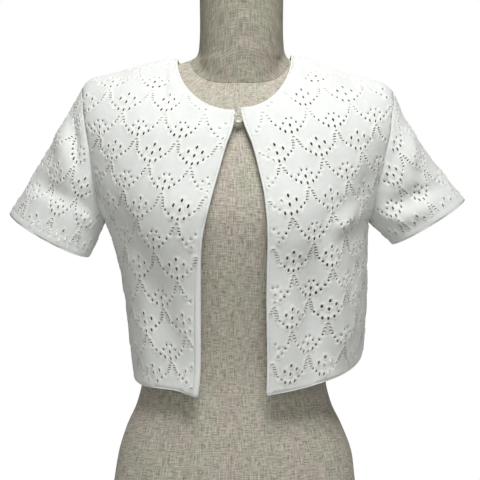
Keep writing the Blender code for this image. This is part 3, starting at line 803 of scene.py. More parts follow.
# The flat cloth and its eyelets
class FlatCloth:
    """A cloth laid flat, which carries its places onto the surface that it was laid out from."""

    def __init__(self, surface):
        self.surface = surface
        self.points = [point for row in surface.points for point in row]
        self.ways = [way for row in surface.ways for way in row]
        self.flats = [flat.to_3d() for row in surface.flats for flat in row]
        self.triangles = []
        for a, b, c, d in grid_faces(len(surface.points), len(surface.points[0])):
            self.triangles += [(a, b, c), (a, c, d)]
        self.tree = BVHTree.FromPolygons(self.flats, self.triangles)
        self.edge = self.outline()
        self.edge_tree = point_tree(self.edge)
        self.hem_tree = point_tree(surface.flats[0])

    def outline(self):
        """Places all round the flat cloth, anticlockwise."""
        rows = self.surface.flats
        places = list(rows[0]) + [row[-1] for row in rows[1:]]
        places += rows[-1][-2::-1] + [row[0] for row in rows[-2:0:-1]]
        kept = [places[0]]
        for place in places[1:]:
            if min((place - kept[i]).length for i in (-1, 0)) > EDGE_STEP:
                kept.append(place)
        return kept if flat_area(kept) > 0 else kept[::-1]

    def covers(self, flat):
        return self.tree.ray_cast(Vector((flat.x, flat.y, 1)), Vector((0, 0, -1)))[0] is not None

    def place(self, flat):
        """The point of the surface and its outward direction at a place on the flat cloth."""
        found, _, index, _ = self.tree.find_nearest(flat.to_3d())
        corners = self.triangles[index]
        flats = [self.flats[i] for i in corners]
        point = barycentric_transform(found, *flats, *(self.points[i] for i in corners))
        way = barycentric_transform(found, *flats, *(self.ways[i] for i in corners))
        return point, way.normalized()

    def from_edge(self, flat):
        return self.edge_tree.find(flat.to_3d())[2]

    def from_hem(self, flat):
        return self.hem_tree.find(flat.to_3d())[2]


def point_tree(places):
    tree = kdtree.KDTree(len(places))
    for index, place in enumerate(places):
        tree.insert(place.to_3d(), index)
    tree.balance()
    return tree


def flat_area(places):
    return sum(a.cross(b) for a, b in zip(places, places[1:] + places[:1])) / 2


Cut = namedtuple("Cut", "place width height lean")


def knit_place(bands, side, across, row):
    """The place on the flat cloth of a place in the knitted repeat."""
    held = max(bands[0].row, min(bands[-1].row, row))
    band = Band(held, *(curve_value(bands, column, held) for column in Band._fields[1:]))
    out = band.width * across / REPEAT_WIDTH
    return Vector((side * (band.first + out), band.up + row - held + band.slope * out)) * MM


def motif_cuts(cloth, bands, side, lean):
    """Every eyelet of the repeat that falls on the cloth, clear of its edges and its hem."""
    last = int(max(abs(flat.x) for flat in cloth.edge) / (REPEAT_WIDTH * MM)) + 2
    bottom, top = (round(bands[i].row / REPEAT_HEIGHT) for i in (0, -1))
    cuts = []
    for column in range(-last, last + 1):
        for row in range(bottom, top + 1):
            for chart, shift in ((FLOWER, 0), (LEAF, 0.5)):
                for eyelet in chart:
                    across = (column + shift) * REPEAT_WIDTH + eyelet.across
                    level = (row + shift) * REPEAT_HEIGHT + eyelet.up
                    place = knit_place(bands, side, across, level)
                    way = knit_place(bands, side, across, level + 1) - place
                    width, height = (size * EYELET_SCALE * MM for size in (eyelet.width, eyelet.height))
                    clear = cloth.from_edge(place) > EDGE_MARGIN + height / 2
                    clear = clear and cloth.from_hem(place) > HEM_MARGIN
                    if clear and cloth.covers(place):
                        cuts.append(Cut(place, width, height, way.x / way.y + lean))
    return cuts


def ring_places(cut, grow, steps):
    """Places round an eyelet, grown outwards, with its top leaning across."""
    places = []
    for step in range(steps):
        turn = 2 * math.pi * (step + 0.5) / steps
        x = (cut.width / 2 + grow) * math.cos(turn)
        y = (cut.height / 2 + grow) * math.sin(turn)
        places.append(cut.place + Vector((x + cut.lean * y, y)))
    return places


def wall_mesh(name, outer, inner, faces, uvs):
    """A closed wall between outer and inner points, with their places on the flat cloth."""
    count = len(outer)
    rims = {(a, b): True for face in faces for a, b in zip(face, face[1:] + face[:1])}
    walls = [(b, a, a + count, b + count) for a, b in rims if (b, a) not in rims]
    under = [tuple(corner + count for corner in reversed(face)) for face in faces]
    data = bpy.data.meshes.new(name)
    data.from_pydata(outer + inner, [], faces + walls + under)
    layer = data.uv_layers.new(name="Cloth")
    for loop in data.loops:
        layer.data[loop.index].uv = uvs[loop.vertex_index % count]
    data.shade_smooth()
    return data


def cloth_mesh(name, cloth, cuts, look, seed, hem_width):
    """A thin closed wall of cloth, with its eyelets cut through and their rims raised, and each point's share of the
    painted highlight on the raised rims.
    """
    places = list(cloth.edge)
    lifts = [EDGE_DROP] * len(places)
    rim_highlights = [0.0] * len(places)
    faces = [list(range(len(places)))]
    for cut in cuts:
        steps = next(count for limit, count in EYELET_STEPS if max(cut.width, cut.height) < limit)
        start = len(places)
        faces.append(list(range(start, start + steps)))
        for rim in RIMS if steps == LARGE_EYELET_STEPS else RIMS[:-1]:
            places += ring_places(cut, rim.grow * MM, steps)
            lifts += [rim.lift * MM * look.rim] * steps
            rim_highlights += [rim.lace] * steps
    taken = point_tree(places)
    hem_line = hem_places(cloth, hem_width - HEM_LINE_HALF)
    hem_line += hem_places(cloth, hem_width + HEM_LINE_HALF)
    hem_line = [place for place in hem_line if taken.find(place.to_3d())[2] > HEM_LINE_SPACE]
    places += hem_line
    lifts += [0.0] * len(hem_line)
    rim_highlights += [0.0] * len(hem_line)
    taken = point_tree(places)
    across = [flat.x for flat in cloth.edge]
    up = [flat.y for flat in cloth.edge]
    rows = int((max(up) - min(up)) / FIELD_ROW_STEP) + 1
    columns = int((max(across) - min(across)) / FIELD_STEP) + 1
    for row in range(rows):
        for column in range(columns):
            place = Vector((
                min(across) + (column + 0.5 * (row % 2)) * FIELD_STEP,
                min(up) + (row + 0.5) * FIELD_ROW_STEP,
            ))
            if taken.find(place.to_3d())[2] > FIELD_SPACE and cloth.covers(place):
                places.append(place)
                lifts.append(0.0)
                rim_highlights.append(0.0)
    flats, _, triangles, origins, _, owners = delaunay_2d_cdt(
        places, [], faces, INSIDE_ONLY, CUT_TOLERANCE, True)
    # A triangle inside an eyelet belongs to the eyelet's outline as well as to the cloth's
    triangles = [face for face, owner in zip(triangles, owners) if len(owner) == 1]
    used = sorted({corner for face in triangles for corner in face})
    number = {corner: index for index, corner in enumerate(used)}
    outer, inner, uvs, highlight_values = [], [], [], []
    for corner in used:
        flat = Vector(flats[corner])
        lift = lifts[origins[corner][0]] if origins[corner] else 0.0
        highlight_values.append(rim_highlights[origins[corner][0]] if origins[corner] else 0.0)
        point, way = cloth.place(flat)
        lift += look.wrinkle * noise.noise(Vector((flat.x, flat.y, seed)) / WRINKLE_SIZE)
        below_line = hem_width + HEM_LINE_HALF - cloth.from_hem(flat)
        lift += HEM_RAISE * smooth_step(below_line / HEM_LINE_SPACE)
        outer.append(point + way * lift)
        inner.append(point + way * (min(0.0, lift) - look.thickness))
        uvs.append(flat)
    polygons = [tuple(number[corner] for corner in face) for face in triangles]
    data = wall_mesh(name, outer, inner, polygons, uvs)
    # Painted highlight: how much lighter each point of the raised rims is coloured
    lace = data.attributes.new("Lace", "FLOAT", "POINT")
    lace.data.foreach_set("value", highlight_values + highlight_values)
    return data


def hem_places(cloth, distance):
    """Places at a distance above the hem, a row of them along it."""
    hem = cloth.surface.flats[0]
    places = []
    for before, flat, after in zip(hem, hem[1:], hem[2:]):
        along = (after - before).normalized()
        place = flat + Vector((-along.y, along.x)) * math.copysign(distance, along.x)
        if cloth.covers(place) and cloth.from_edge(place) > distance * HEM_LINE_CLEAR:
            places.append(place)
    return places


def edge_roll(name, line, thickness, widths, swell=0.0):
    """The turned edge of the cloth: a rounded strip along a line of points and outward ways."""
    vertices = []
    last = len(line) - 1
    for i, (point, way) in enumerate(line):
        along = (line[min(i + 1, last)][0] - line[max(i - 1, 0)][0]).normalized()
        across = along.cross(way).normalized()
        up = across.cross(along).normalized()
        middle = point - up * thickness / 2
        for step in range(ROLL_STEPS):
            turn = 2 * math.pi * step / ROLL_STEPS
            lift = thickness / 2 + ROLL_PROUD + swell * (widths[i] - min(widths))
            lift *= math.sin(turn) if turn < math.pi else ROLL_UNDER * math.sin(turn)
            vertices.append(middle + across * widths[i] * math.cos(turn) + up * lift)
    faces = grid_faces(len(line), ROLL_STEPS, closed=True)
    faces.append(tuple(range(ROLL_STEPS))[::-1])
    faces.append(tuple(range(last * ROLL_STEPS, (last + 1) * ROLL_STEPS)))
    data = bpy.data.meshes.new(name)
    data.from_pydata(vertices, [], faces)
    data.shade_smooth()
    return outward(data)


def outward(data):
    """Turn a closed mesh's faces outwards."""
    mesh = bmesh.new()
    mesh.from_mesh(data)
    bmesh.ops.recalc_face_normals(mesh, faces=mesh.faces)
    mesh.to_mesh(data)
    mesh.free()
    return data


def finish_piece(piece, finish, slot, node=None):
    """Give a new piece its finish, its slot and the node of the frame that it replaces, if any."""
    piece.data.materials.append(finish)
    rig.ride(piece, "root")
    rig.slot(piece, slot)
    if node:
        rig.replaces(piece, node)
    return piece


def new_piece(name, data, finish, slot, node=None):
    made = bpy.data.objects.new(name, data)
    bpy.context.scene.collection.objects.link(made)
    return finish_piece(made, finish, slot, node)


# Finishes
# The cloth between the eyelets takes this darker, cooler tint; the raised rims are painted back up to the full colour,
# a painted highlight
FIELD_TINT = (0.92, 0.935, 0.95)
WALE_SCALE = 349.0
COURSE_SCALE = 449.0


def add_node(tree, kind, values=(), **settings):
    made = tree.nodes.new(kind)
    for key, value in settings.items():
        setattr(made, key, value)
    for socket, value in values:
        made.inputs[socket].default_value = value
    return made


def new_finish(name, colour, roughness):
    made = bpy.data.materials.new(name)
    made.use_nodes = True
    made.diffuse_color = (*colour, 1)
    shader = made.node_tree.nodes["Principled BSDF"]
    shader.inputs["Base Color"].default_value = (*colour, 1)
    shader.inputs["Roughness"].default_value = roughness
    return made, made.node_tree, shader


def stretched_noise(tree, source, scale, detail=3.0):
    """Noise on stretched coordinates, which makes threads that run one way."""
    mapping = add_node(tree, "ShaderNodeMapping", [("Scale", scale)])
    texture = add_node(tree, "ShaderNodeTexNoise", [("Scale", 1.0), ("Detail", detail)])
    tree.links.new(source, mapping.inputs["Vector"])
    tree.links.new(mapping.outputs["Vector"], texture.inputs["Vector"])
    return texture.outputs["Fac"]


def waves(tree, source, scale, direction):
    texture = add_node(tree, "ShaderNodeTexWave", [("Scale", scale)], bands_direction=direction)
    tree.links.new(source, texture.inputs["Vector"])
    return texture.outputs["Fac"]


def object_places(tree):
    return add_node(tree, "ShaderNodeTexCoord").outputs["Object"]


def flat_places(tree):
    return add_node(tree, "ShaderNodeUVMap", uv_map="Cloth").outputs["UV"]


def colour_ramp(tree, source, stops):
    ramp = add_node(tree, "ShaderNodeValToRGB")
    ramp.color_ramp.elements[0].position, ramp.color_ramp.elements[0].color = stops[0]
    ramp.color_ramp.elements[1].position, ramp.color_ramp.elements[1].color = stops[1]
    tree.links.new(source, ramp.inputs["Fac"])
    return ramp.outputs["Color"]


def mixed(tree, factor, first, second, **settings):
    """Two colours mixed. A factor or second colour that isn't a socket is a constant."""
    mix = add_node(tree, "ShaderNodeMix", data_type="RGBA", **settings)
    for socket, value in ((0, factor), (6, first), (7, second)):
        if isinstance(value, bpy.types.NodeSocket):
            tree.links.new(value, mix.inputs[socket])
        else:
            mix.inputs[socket].default_value = value
    return mix.outputs[2]


def calculated(tree, operation, *values):
    """A sum or product of two values, sockets or constants."""
    made = add_node(tree, "ShaderNodeMath", operation=operation)
    for socket, value in enumerate(values):
        if isinstance(value, bpy.types.NodeSocket):
            tree.links.new(value, made.inputs[socket])
        else:
            made.inputs[socket].default_value = value
    return made.outputs["Value"]


def add_bump(tree, shader, source, strength, distance):
    bump = add_node(tree, "ShaderNodeBump", [("Strength", strength), ("Distance", distance)])
    tree.links.new(source, bump.inputs["Height"])
    tree.links.new(bump.outputs["Normal"], shader.inputs["Normal"])


def add_clouds(tree, shader, colour, scale, dark, low, high):
    """Colour a finish by stretched noise, from a share of its colour to the whole of it."""
    noises = stretched_noise(tree, object_places(tree), scale)
    shade = tuple(dark * part for part in colour)
    tone = colour_ramp(tree, noises, ((low, (*shade, 1)), (high, (*colour, 1))))
    tree.links.new(tone, shader.inputs["Base Color"])


def jersey_finish(name, colour, mapped):
    """Fine white cotton jersey: wales and courses of small stitches, and a slight unevenness. On the pointelle cloth,
    the rims round the eyelets are painted lighter than the fields between them, a painted highlight of the raised
    stitches.
    """
    made, tree, shader = new_finish(name, colour, 0.88)
    shader.inputs["Sheen Weight"].default_value = 0.25
    shader.inputs["Sheen Roughness"].default_value = 0.6
    source = flat_places(tree) if mapped else object_places(tree)
    wales = waves(tree, source, WALE_SCALE, "X")
    courses = waves(tree, source, COURSE_SCALE, "Y")
    add_bump(tree, shader, calculated(tree, "MULTIPLY", wales, courses), 0.35, 0.0003)
    uneven = stretched_noise(tree, source, (60, 25, 60))
    field = tuple(part * share for part, share in zip(colour, FIELD_TINT))
    shade = tuple(0.95 * part for part in field)
    tone = colour_ramp(tree, uneven, ((0.35, (*shade, 1)), (0.65, (*field, 1))))
    if mapped:
        # Painted highlight: the raised rims are coloured up to the full colour, lighter than the tinted fields
        lace = add_node(tree, "ShaderNodeAttribute", attribute_name="Lace").outputs["Fac"]
        tone = mixed(tree, lace, tone, (*colour, 1))
    tree.links.new(tone, shader.inputs["Base Color"])
    return made


def linen_finish(name, colour, slub):
    """Slubby linen: crossing threads of uneven thickness and tone, with a few dark slubs."""
    made, tree, shader = new_finish(name, colour, 0.92)
    source = flat_places(tree)
    weft = stretched_noise(tree, source, (75, 850, 1))
    warp = stretched_noise(tree, source, (850, 60, 1))
    weave = calculated(tree, "MULTIPLY", calculated(tree, "ADD", weft, warp), 0.5)
    dark = tuple(0.5 * part for part in colour)
    light = tuple(min(1.0, 1.32 * part) for part in colour)
    threads = colour_ramp(tree, weave, ((0.36, (*dark, 1)), (0.62, (*light, 1))))
    patches = stretched_noise(tree, source, (26, 14, 1), 1.0)
    tint = colour_ramp(tree, patches, ((0.38, (1.0, 0.97, 0.96, 1)), (0.62, (0.97, 1.0, 0.95, 1))))
    tone = mixed(tree, 1.0, threads, tint, blend_type="MULTIPLY")
    for scale in ((160, 700, 1), (650, 130, 1)):
        slubs = stretched_noise(tree, source, scale, 1.0)
        where = add_node(
            tree, "ShaderNodeMapRange", [("From Min", 0.6), ("From Max", 0.72), ("To Max", 0.7)])
        tree.links.new(slubs, where.inputs["Value"])
        tone = mixed(tree, where.outputs["Result"], tone, (*slub, 1))
    tree.links.new(tone, shader.inputs["Base Color"])
    add_bump(tree, shader, weave, 0.5, 0.0004)
    return made


def wood_finish(name, colour):
    made, tree, shader = new_finish(name, colour, 0.45)
    add_clouds(tree, shader, colour, (6, 90, 90), 0.7, 0.35, 0.65)
    return made


def pearl_finish(name, colour):
    made, tree, shader = new_finish(name, colour, 0.22)
    shader.inputs["Coat Weight"].default_value = 0.4
    shader.inputs["Subsurface Weight"].default_value = 0.3
    shader.inputs["Subsurface Radius"].default_value = (0.002, 0.002, 0.0015)
    add_clouds(tree, shader, colour, (500, 500, 500), 0.86, 0.3, 0.7)
    return made


def thread_finish(name, colour):
    made, tree, shader = new_finish(name, colour, 0.8)
    add_bump(tree, shader, waves(tree, object_places(tree), 500.0, "DIAGONAL"), 0.4, 0.0002)
    return made


# The dress form
FormSection = namedtuple("FormSection", "height middle half front back square neck")
FORM = table(
    FormSection,
    (8.3, -1.5, 146, 84, 98, 2.2, 10),
    (14, -1.5, 150, 88, 102, 2.2, 10),
    (60, -1.5, 151, 92, 108, 2.2, 10),
    (96, -1.7, 144.3, 92, 106, 2.2, 10),
    (130, -1.0, 139.5, 88, 98, 2.2, 10),
    (164, -2.0, 128.0, 83, 87, 2.2, 10),
    (190, -2.4, 116.0, 79, 79, 2.2, 10),
    (216, -2.4, 109.8, 77, 74, 2.2, 10),
    (240, -2.4, 108.5, 78, 74, 2.2, 10),
    (300, -1.0, 115.0, 88, 82, 2.2, 10),
    (360, 0.0, 126.0, 101, 92, 2.2, 10),
    (410, 0.0, 137.0, 107, 99, 2.2, 10),
    (460, 0.0, 147.0, 98, 102, 2.2, 20),
    (500, 0.5, 157.0, 83, 98, 2.2, 34),
    (530, 1.5, 163.0, 69, 88, 2.2, 43),
    (548, 2.5, 165.0, 58, 77, 2.2, 47),
    (560, 3.4, 163.0, 48, 67, 2.1, 49),
    (568, 4.0, 156.0, 40, 58, 2.0, 49.5),
    (576, 4.6, 140.0, 31, 47, 2.0, 49.8),
    (583, 4.6, 117.0, 24, 37, 2.0, 49.8),
    (590, 4.6, 91.5, 18, 28, 2.0, 49.6),
    (597, 4.6, 66.0, 14, 20, 2.0, 49.2),
    (604, 6.6, 50.0, 12, 14, 2.0, 48.8),
    (614, 6.6, 44.0, 10, 10, 2.0, 48.6),
    (640, 6.6, 40.0, 10, 10, 2.0, 48.6),
    (680, 6.6, 40.0, 10, 10, 2.0, 49.2),
    (706, 6.6, 40.0, 10, 10, 2.0, 49.8),
    (712, 6.6, 40.0, 10, 10, 2.0, 48.4),
)
FORM_BLEND = 8
FORM_SWELLINGS = table(Swelling, (FRONT, -67, 410, 40, 7), (FRONT, 68, 410, 40, 7))
FORM_COLUMNS = 132
BODY_ROWS = 90
SHOULDER_ROWS = 48
NECK_ROWS = 56
SEAM_ROW = BODY_ROWS + SHOULDER_ROWS
SHOULDER_BEND = 545 * MM
NECK_SEAM_FRONT = 567 * MM
NECK_SEAM_SIDE = 604 * MM
NECK_SEAM_BACK = 596 * MM
SEAM_TUCK = 0.7 * MM
SEAM_HALF = 0.5 * MM
NECK_SEAM_BEND = 1.8
BODY_ROUND = 0.13
NECK_ROUND = 0.049


def form_point(height, angle, tuck):
    """A point of the form's surface, drawn in by the tuck of a seam."""
    section = FormSection(
        *(curve_value(FORM, column, height / MM) for column in FormSection._fields))
    cosine, sine = math.cos(angle), math.sin(angle)
    depth = section.front if sine < 0 else section.back
    body = (abs(cosine) / section.half) ** section.square + (abs(sine) / depth) ** section.square
    body = body ** (-1 / section.square)
    radius = (body**FORM_BLEND + section.neck**FORM_BLEND) ** (1 / FORM_BLEND) - tuck / MM
    point = Vector((section.middle + radius * cosine, radius * sine, height / MM)) * MM
    face = FRONT if sine < 0 else BACK
    point.y += face * swelling_height(FORM_SWELLINGS, face, point.x, point.z) * abs(sine)
    return point


def neck_seam(angle):
    """Height of the seam where the neck's cover meets the body's, lowest at the front."""
    sine = math.sin(angle)
    end = NECK_SEAM_FRONT if sine < 0 else NECK_SEAM_BACK
    return end + (NECK_SEAM_SIDE - end) * (1 - abs(sine)) ** NECK_SEAM_BEND


def form_column(angle):
    """Points up the form at an angle, with the tucked seam between its body and its neck."""
    seam = neck_seam(angle)
    neck = seam + 2 * SEAM_HALF
    base, top = FORM[0].height * MM, FORM[-1].height * MM
    levels = [base + (SHOULDER_BEND - base) * row / BODY_ROWS for row in range(BODY_ROWS)]
    for row in range(SHOULDER_ROWS + 1):
        levels.append(SHOULDER_BEND + (seam - SHOULDER_BEND) * row / SHOULDER_ROWS)
    levels.append(seam + SEAM_HALF)
    levels += [neck + (top - neck) * row / NECK_ROWS for row in range(NECK_ROWS + 1)]
    return [
        form_point(height, angle, SEAM_TUCK if row == SEAM_ROW + 1 else 0.0)
        for row, height in enumerate(levels)]


def form_mesh(name):
    """The linen cover of the body and the neck, closed below and above."""
    columns = [form_column(2 * math.pi * c / FORM_COLUMNS) for c in range(FORM_COLUMNS)]
    lengths = [running_length(column) for column in columns]
    rows = len(columns[0])
    vertices = [columns[c][r] for r in range(rows) for c in range(FORM_COLUMNS)]
    faces = grid_faces(rows, FORM_COLUMNS, closed=True)
    uvs = []
    for index in range(len(faces)):
        r, c = divmod(index, FORM_COLUMNS)
        wide = BODY_ROUND if r < SEAM_ROW else NECK_ROUND
        near, far = (2 * math.pi * i / FORM_COLUMNS * wide for i in (c, c + 1))
        here, after = lengths[c], lengths[(c + 1) % FORM_COLUMNS]
        uvs += [(near, here[r]), (far, after[r]), (far, after[r + 1]), (near, here[r + 1])]
    for ring in (range(FORM_COLUMNS)[::-1], range((rows - 1) * FORM_COLUMNS, rows * FORM_COLUMNS)):
        faces.append(tuple(ring))
        uvs += [vertices[corner].xy[:] for corner in ring]
    data = bpy.data.meshes.new(name)
    data.from_pydata(vertices, [], faces)
    layer = data.uv_layers.new(name="Cloth")
    for loop, uv in zip(layer.data, uvs):
        loop.uv = uv
    neck = (SEAM_ROW + 1) * FORM_COLUMNS
    for index, face in enumerate(data.polygons):
        face.material_index = int(neck <= index < len(faces) - 2)
    data.shade_smooth()
    data.set_sharp_from_angle(angle=math.radians(50))
    return data


# The pieces of the garment
def front_roll_width(side, height):
    """Half the width of the turned front edge, which rolls wider low on the right front."""
    share = smooth_step((EDGE_ROLL_TOP - height) / EDGE_ROLL_FADE) if side == RIGHT else 0.0
    return NECK_ROLL_WIDTH + share * EDGE_ROLL_GROWTH


def edge_places(cloth):
    """Places down the neckline from the shoulder, and then down the front edge to the hem."""
    rows = cloth.surface.flats
    first = round(NECK_SHARE * COLUMNS)
    neck = list(zip(cloth.surface.points[-1], cloth.surface.ways[-1], rows[-1]))[first:]
    down = [(points[-1], ways[-1], flats[-1]) for points, ways, flats in zip(*cloth.surface)]
    return neck, down[-2::-1]


def facing_lines(line, turn, steps):
    """Flat lines beside a line, each further in, shortened to a mitre at the line's first place.

    The cloth lies to the left of the line where `turn` is 1, and to its right where it is -1."""
    flats = [flat for _, _, flat in line]
    lengths = running_length(flats)
    whole = lengths[-1]
    lines = []
    for step in range(steps + 1):
        depth = FACING_WIDTH * step / steps
        places = []
        for length in lengths:
            at = depth + length * (whole - depth) / whole
            i = max(k for k in range(len(lengths) - 1) if lengths[k] <= at or k == 0)
            share = (at - lengths[i]) / (lengths[i + 1] - lengths[i])
            along = (flats[i + 1] - flats[i]).normalized()
            inward = Vector((-along.y, along.x)) * turn
            places.append(flats[i].lerp(flats[i + 1], share) + inward * depth)
        lines.append(places)
    return lines


def facing_mesh(name, cloth, side):
    """The strip turned in behind the neckline and the front edge, mitred at the neck corner."""
    neck, down = edge_places(cloth)
    across = facing_lines(neck[::-1], -side, FACING_STEPS)
    edge = facing_lines([neck[-1]] + down, side, FACING_STEPS)
    rows = []
    for line, other in zip(across, edge):
        corner = (line[0] + other[0]) / 2
        rows.append(line[:0:-1] + [corner] + other[1:])
    outer, inner, uvs = [], [], []
    for row in rows:
        for flat in row:
            point, way = cloth.place(flat)
            outer.append(point - way * FACING_DEPTHS[0])
            inner.append(point - way * FACING_DEPTHS[1])
            uvs.append(flat)
    faces = grid_faces(len(rows), len(rows[0]))
    return outward(wall_mesh(name, outer, inner, faces, uvs))


# The fastening
BUTTON_RADIUS = 5.2 * MM
BUTTON_DEPTH = 3.2 * MM
BUTTON_PLACE = Vector((3.2, -87.3, 522.4)) * MM
BUTTON_TILT = math.radians(8)
BUTTON_RIM = 1.4 * MM
BUTTON_SLOPE = 0.8 * MM
BUTTON_HOLLOW = 0.7 * MM
BUTTON_ROUND = 0.8 * MM
LOOP_START = -5.9 * MM
LOOP_REACH = 7.9 * MM
LOOP_LEAN = 0.6 * MM
LOOP_HALF = 6.4 * MM
LOOP_WAIST = 0.45
LOOP_DEPTH = 2.5 * MM
LOOP_POINTS = 60
PLY_RADIUS = 0.52 * MM
PLY_OFFSET = 0.44 * MM
PLY_TURNS = 7


def pearl_button(finish):
    """A round button with a broad rim and a hollow face."""
    bpy.ops.object.select_all(action="DESELECT")
    bpy.ops.mesh.primitive_cylinder_add(
        vertices=48, radius=BUTTON_RADIUS, depth=BUTTON_DEPTH, location=BUTTON_PLACE,
        rotation=(math.pi / 2 - BUTTON_TILT, 0, 0))
    made = bpy.context.object
    made.name = "pearl_button"
    bpy.ops.object.transform_apply(location=True, rotation=True, scale=True)
    bpy.ops.object.mode_set(mode="EDIT")
    bpy.ops.mesh.select_mode(type="FACE")
    bpy.ops.mesh.select_all(action="DESELECT")
    mesh = bmesh.from_edit_mesh(made.data)
    min(mesh.faces, key=lambda face: face.normal.y).select = True
    bmesh.update_edit_mesh(made.data)
    bpy.ops.mesh.inset(thickness=BUTTON_RIM)
    bpy.ops.mesh.inset(thickness=BUTTON_SLOPE, depth=-BUTTON_HOLLOW)
    bpy.ops.object.mode_set(mode="OBJECT")
    bevel = made.modifiers.new("Rounded", "BEVEL")
    bevel.width = BUTTON_ROUND
    bevel.segments = 4
    bevel.limit_method = "ANGLE"
    bpy.ops.object.modifier_apply(modifier=bevel.name)
    bpy.ops.object.shade_smooth_by_angle(angle=math.radians(40))
    return finish_piece(made, finish, "pearl", "button")


def loop_route():
    """The loop's points, from the right front round behind the button and back."""
    points = []
    for i in range(LOOP_POINTS + 1):
        turn = math.pi * i / LOOP_POINTS
        across = LOOP_START + LOOP_REACH * math.sin(turn) - LOOP_LEAN * math.cos(turn)
        rise = -LOOP_HALF * math.cos(turn) * (1 - LOOP_WAIST * math.sin(turn))
        points.append(BUTTON_PLACE + Vector((across, LOOP_DEPTH, rise)))
    return points


def thread_loop(finish):
    """Two plies of thread twisted along the loop's route."""
    route = loop_route()
    curve = bpy.data.curves.new("thread_loop", "CURVE")
    curve.dimensions = "3D"
    curve.bevel_depth = PLY_RADIUS
    curve.bevel_resolution = 2
    curve.use_fill_caps = True
    out = Vector((0, -1, 0))
    for ply in (0, math.pi):
        spline = curve.splines.new("POLY")
        spline.points.add(len(route) - 1)
        for i, point in enumerate(route):
            along = route[min(i + 1, len(route) - 1)] - route[max(i - 1, 0)]
            across = along.cross(out).normalized()
            turn = ply + 2 * math.pi * PLY_TURNS * i / LOOP_POINTS
            place = point + (across * math.cos(turn) + out * math.sin(turn)) * PLY_OFFSET
            spline.points[i].co = (*place, 1)
    return new_piece("thread_loop", curve, finish, "thread", "button_loop")


def cloth_piece(node, cloth, bands, side, lean, hem_width):
    """The piece of pointelle jersey that replaces a node."""
    name = node + "_cloth"
    look = bpy.context.scene.cardigan
    cuts = motif_cuts(cloth, bands, side, lean)
    data = cloth_mesh(name, cloth, cuts, look, WRINKLE_SEEDS[node], hem_width)
    return new_piece(name, data, cloth_finish(), "pointelle_jersey", node)


def row_line(cloth, row):
    """The points and outward ways along a row of a cloth's surface."""
    return list(zip(cloth.surface.points[row], cloth.surface.ways[row]))


def roll_piece(name, line, thickness, widths, swell=0.0):
    roll = edge_roll(name, line, thickness, widths, swell)
    return new_piece(name, roll, plain_finish(), "plain_jersey")


def even_roll(name, line, thickness, width):
    return roll_piece(name, line, thickness, [width] * len(line))


def declare_cloth(piece, cloth, rests_on, edges):
    """State the size that the cloth was cut to, and what it lies on."""
    across = [flat.x for flat in cloth.edge]
    up = [flat.y for flat in cloth.edge]
    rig.sheet(
        piece, flat=(max(across) - min(across), max(up) - min(up)), held="draped",
        area=flat_area(cloth.edge), rests_on=rests_on, with_pieces=list(edges))


# Settings
class CardiganSettings(bpy.types.PropertyGroup):
    """Sizes and colours of the cardigan's cloth."""

    cloth_colour: bpy.props.FloatVectorProperty(
        name="Cloth colour", description="Colour of the pointelle jersey",
        default=(0.84, 0.85, 0.82), subtype="COLOR", min=0, max=1)
    plain_colour: bpy.props.FloatVectorProperty(
        name="Facing colour", description="Colour of the plain jersey at the turned edges",
        default=(0.90, 0.91, 0.88), subtype="COLOR", min=0, max=1)
    pearl_colour: bpy.props.FloatVectorProperty(
        name="Button colour", description="Colour of the pearly button",
        default=(0.55, 0.54, 0.44), subtype="COLOR", min=0, max=1)
    thread_colour: bpy.props.FloatVectorProperty(
        name="Thread colour", description="Colour of the button's loop and shank",
        default=(0.85, 0.86, 0.83), subtype="COLOR", min=0, max=1)
    thickness: bpy.props.FloatProperty(
        name="Thickness", description="Thickness of the jersey",
        default=1.0 * MM, min=0.5 * MM, max=1.5 * MM, subtype="DISTANCE")
    rim: bpy.props.FloatProperty(
        name="Eyelet rims", description="How proud the stitches stand round an eyelet",
        default=1.0, min=0.0, max=2.0, subtype="FACTOR")
    wrinkle: bpy.props.FloatProperty(
        name="Wrinkles", description="Depth of the fine unevenness of the hanging cloth",
        default=0.8 * MM, min=0.0, max=1.5 * MM, subtype="DISTANCE")
    hem: bpy.props.FloatProperty(
        name="Body hem", description="Width of the turned hem of the body",
        default=6 * MM, min=5 * MM, max=30 * MM, subtype="DISTANCE")
    cuff: bpy.props.FloatProperty(
        name="Sleeve hem", description="Width of the turned hem of a sleeve",
        default=6 * MM, min=5 * MM, max=30 * MM, subtype="DISTANCE")


class FormSettings(bpy.types.PropertyGroup):
    """Colours of the dress form."""

    linen_colour: bpy.props.FloatVectorProperty(
        name="Linen colour", description="Colour of the form's linen cover",
        default=(0.50, 0.47, 0.41), subtype="COLOR", min=0, max=1)
    neck_colour: bpy.props.FloatVectorProperty(
        name="Neck colour", description="Colour of the darker linen on the neck",
        default=(0.345, 0.325, 0.272), subtype="COLOR", min=0, max=1)
    slub_colour: bpy.props.FloatVectorProperty(
        name="Slub colour", description="Colour of the thick dark threads in the linen",
        default=(0.20, 0.15, 0.10), subtype="COLOR", min=0, max=1)
    wood_colour: bpy.props.FloatVectorProperty(
        name="Wood colour", description="Colour of the neck cap and the base board",
        default=(0.55, 0.42, 0.28), subtype="COLOR", min=0, max=1)


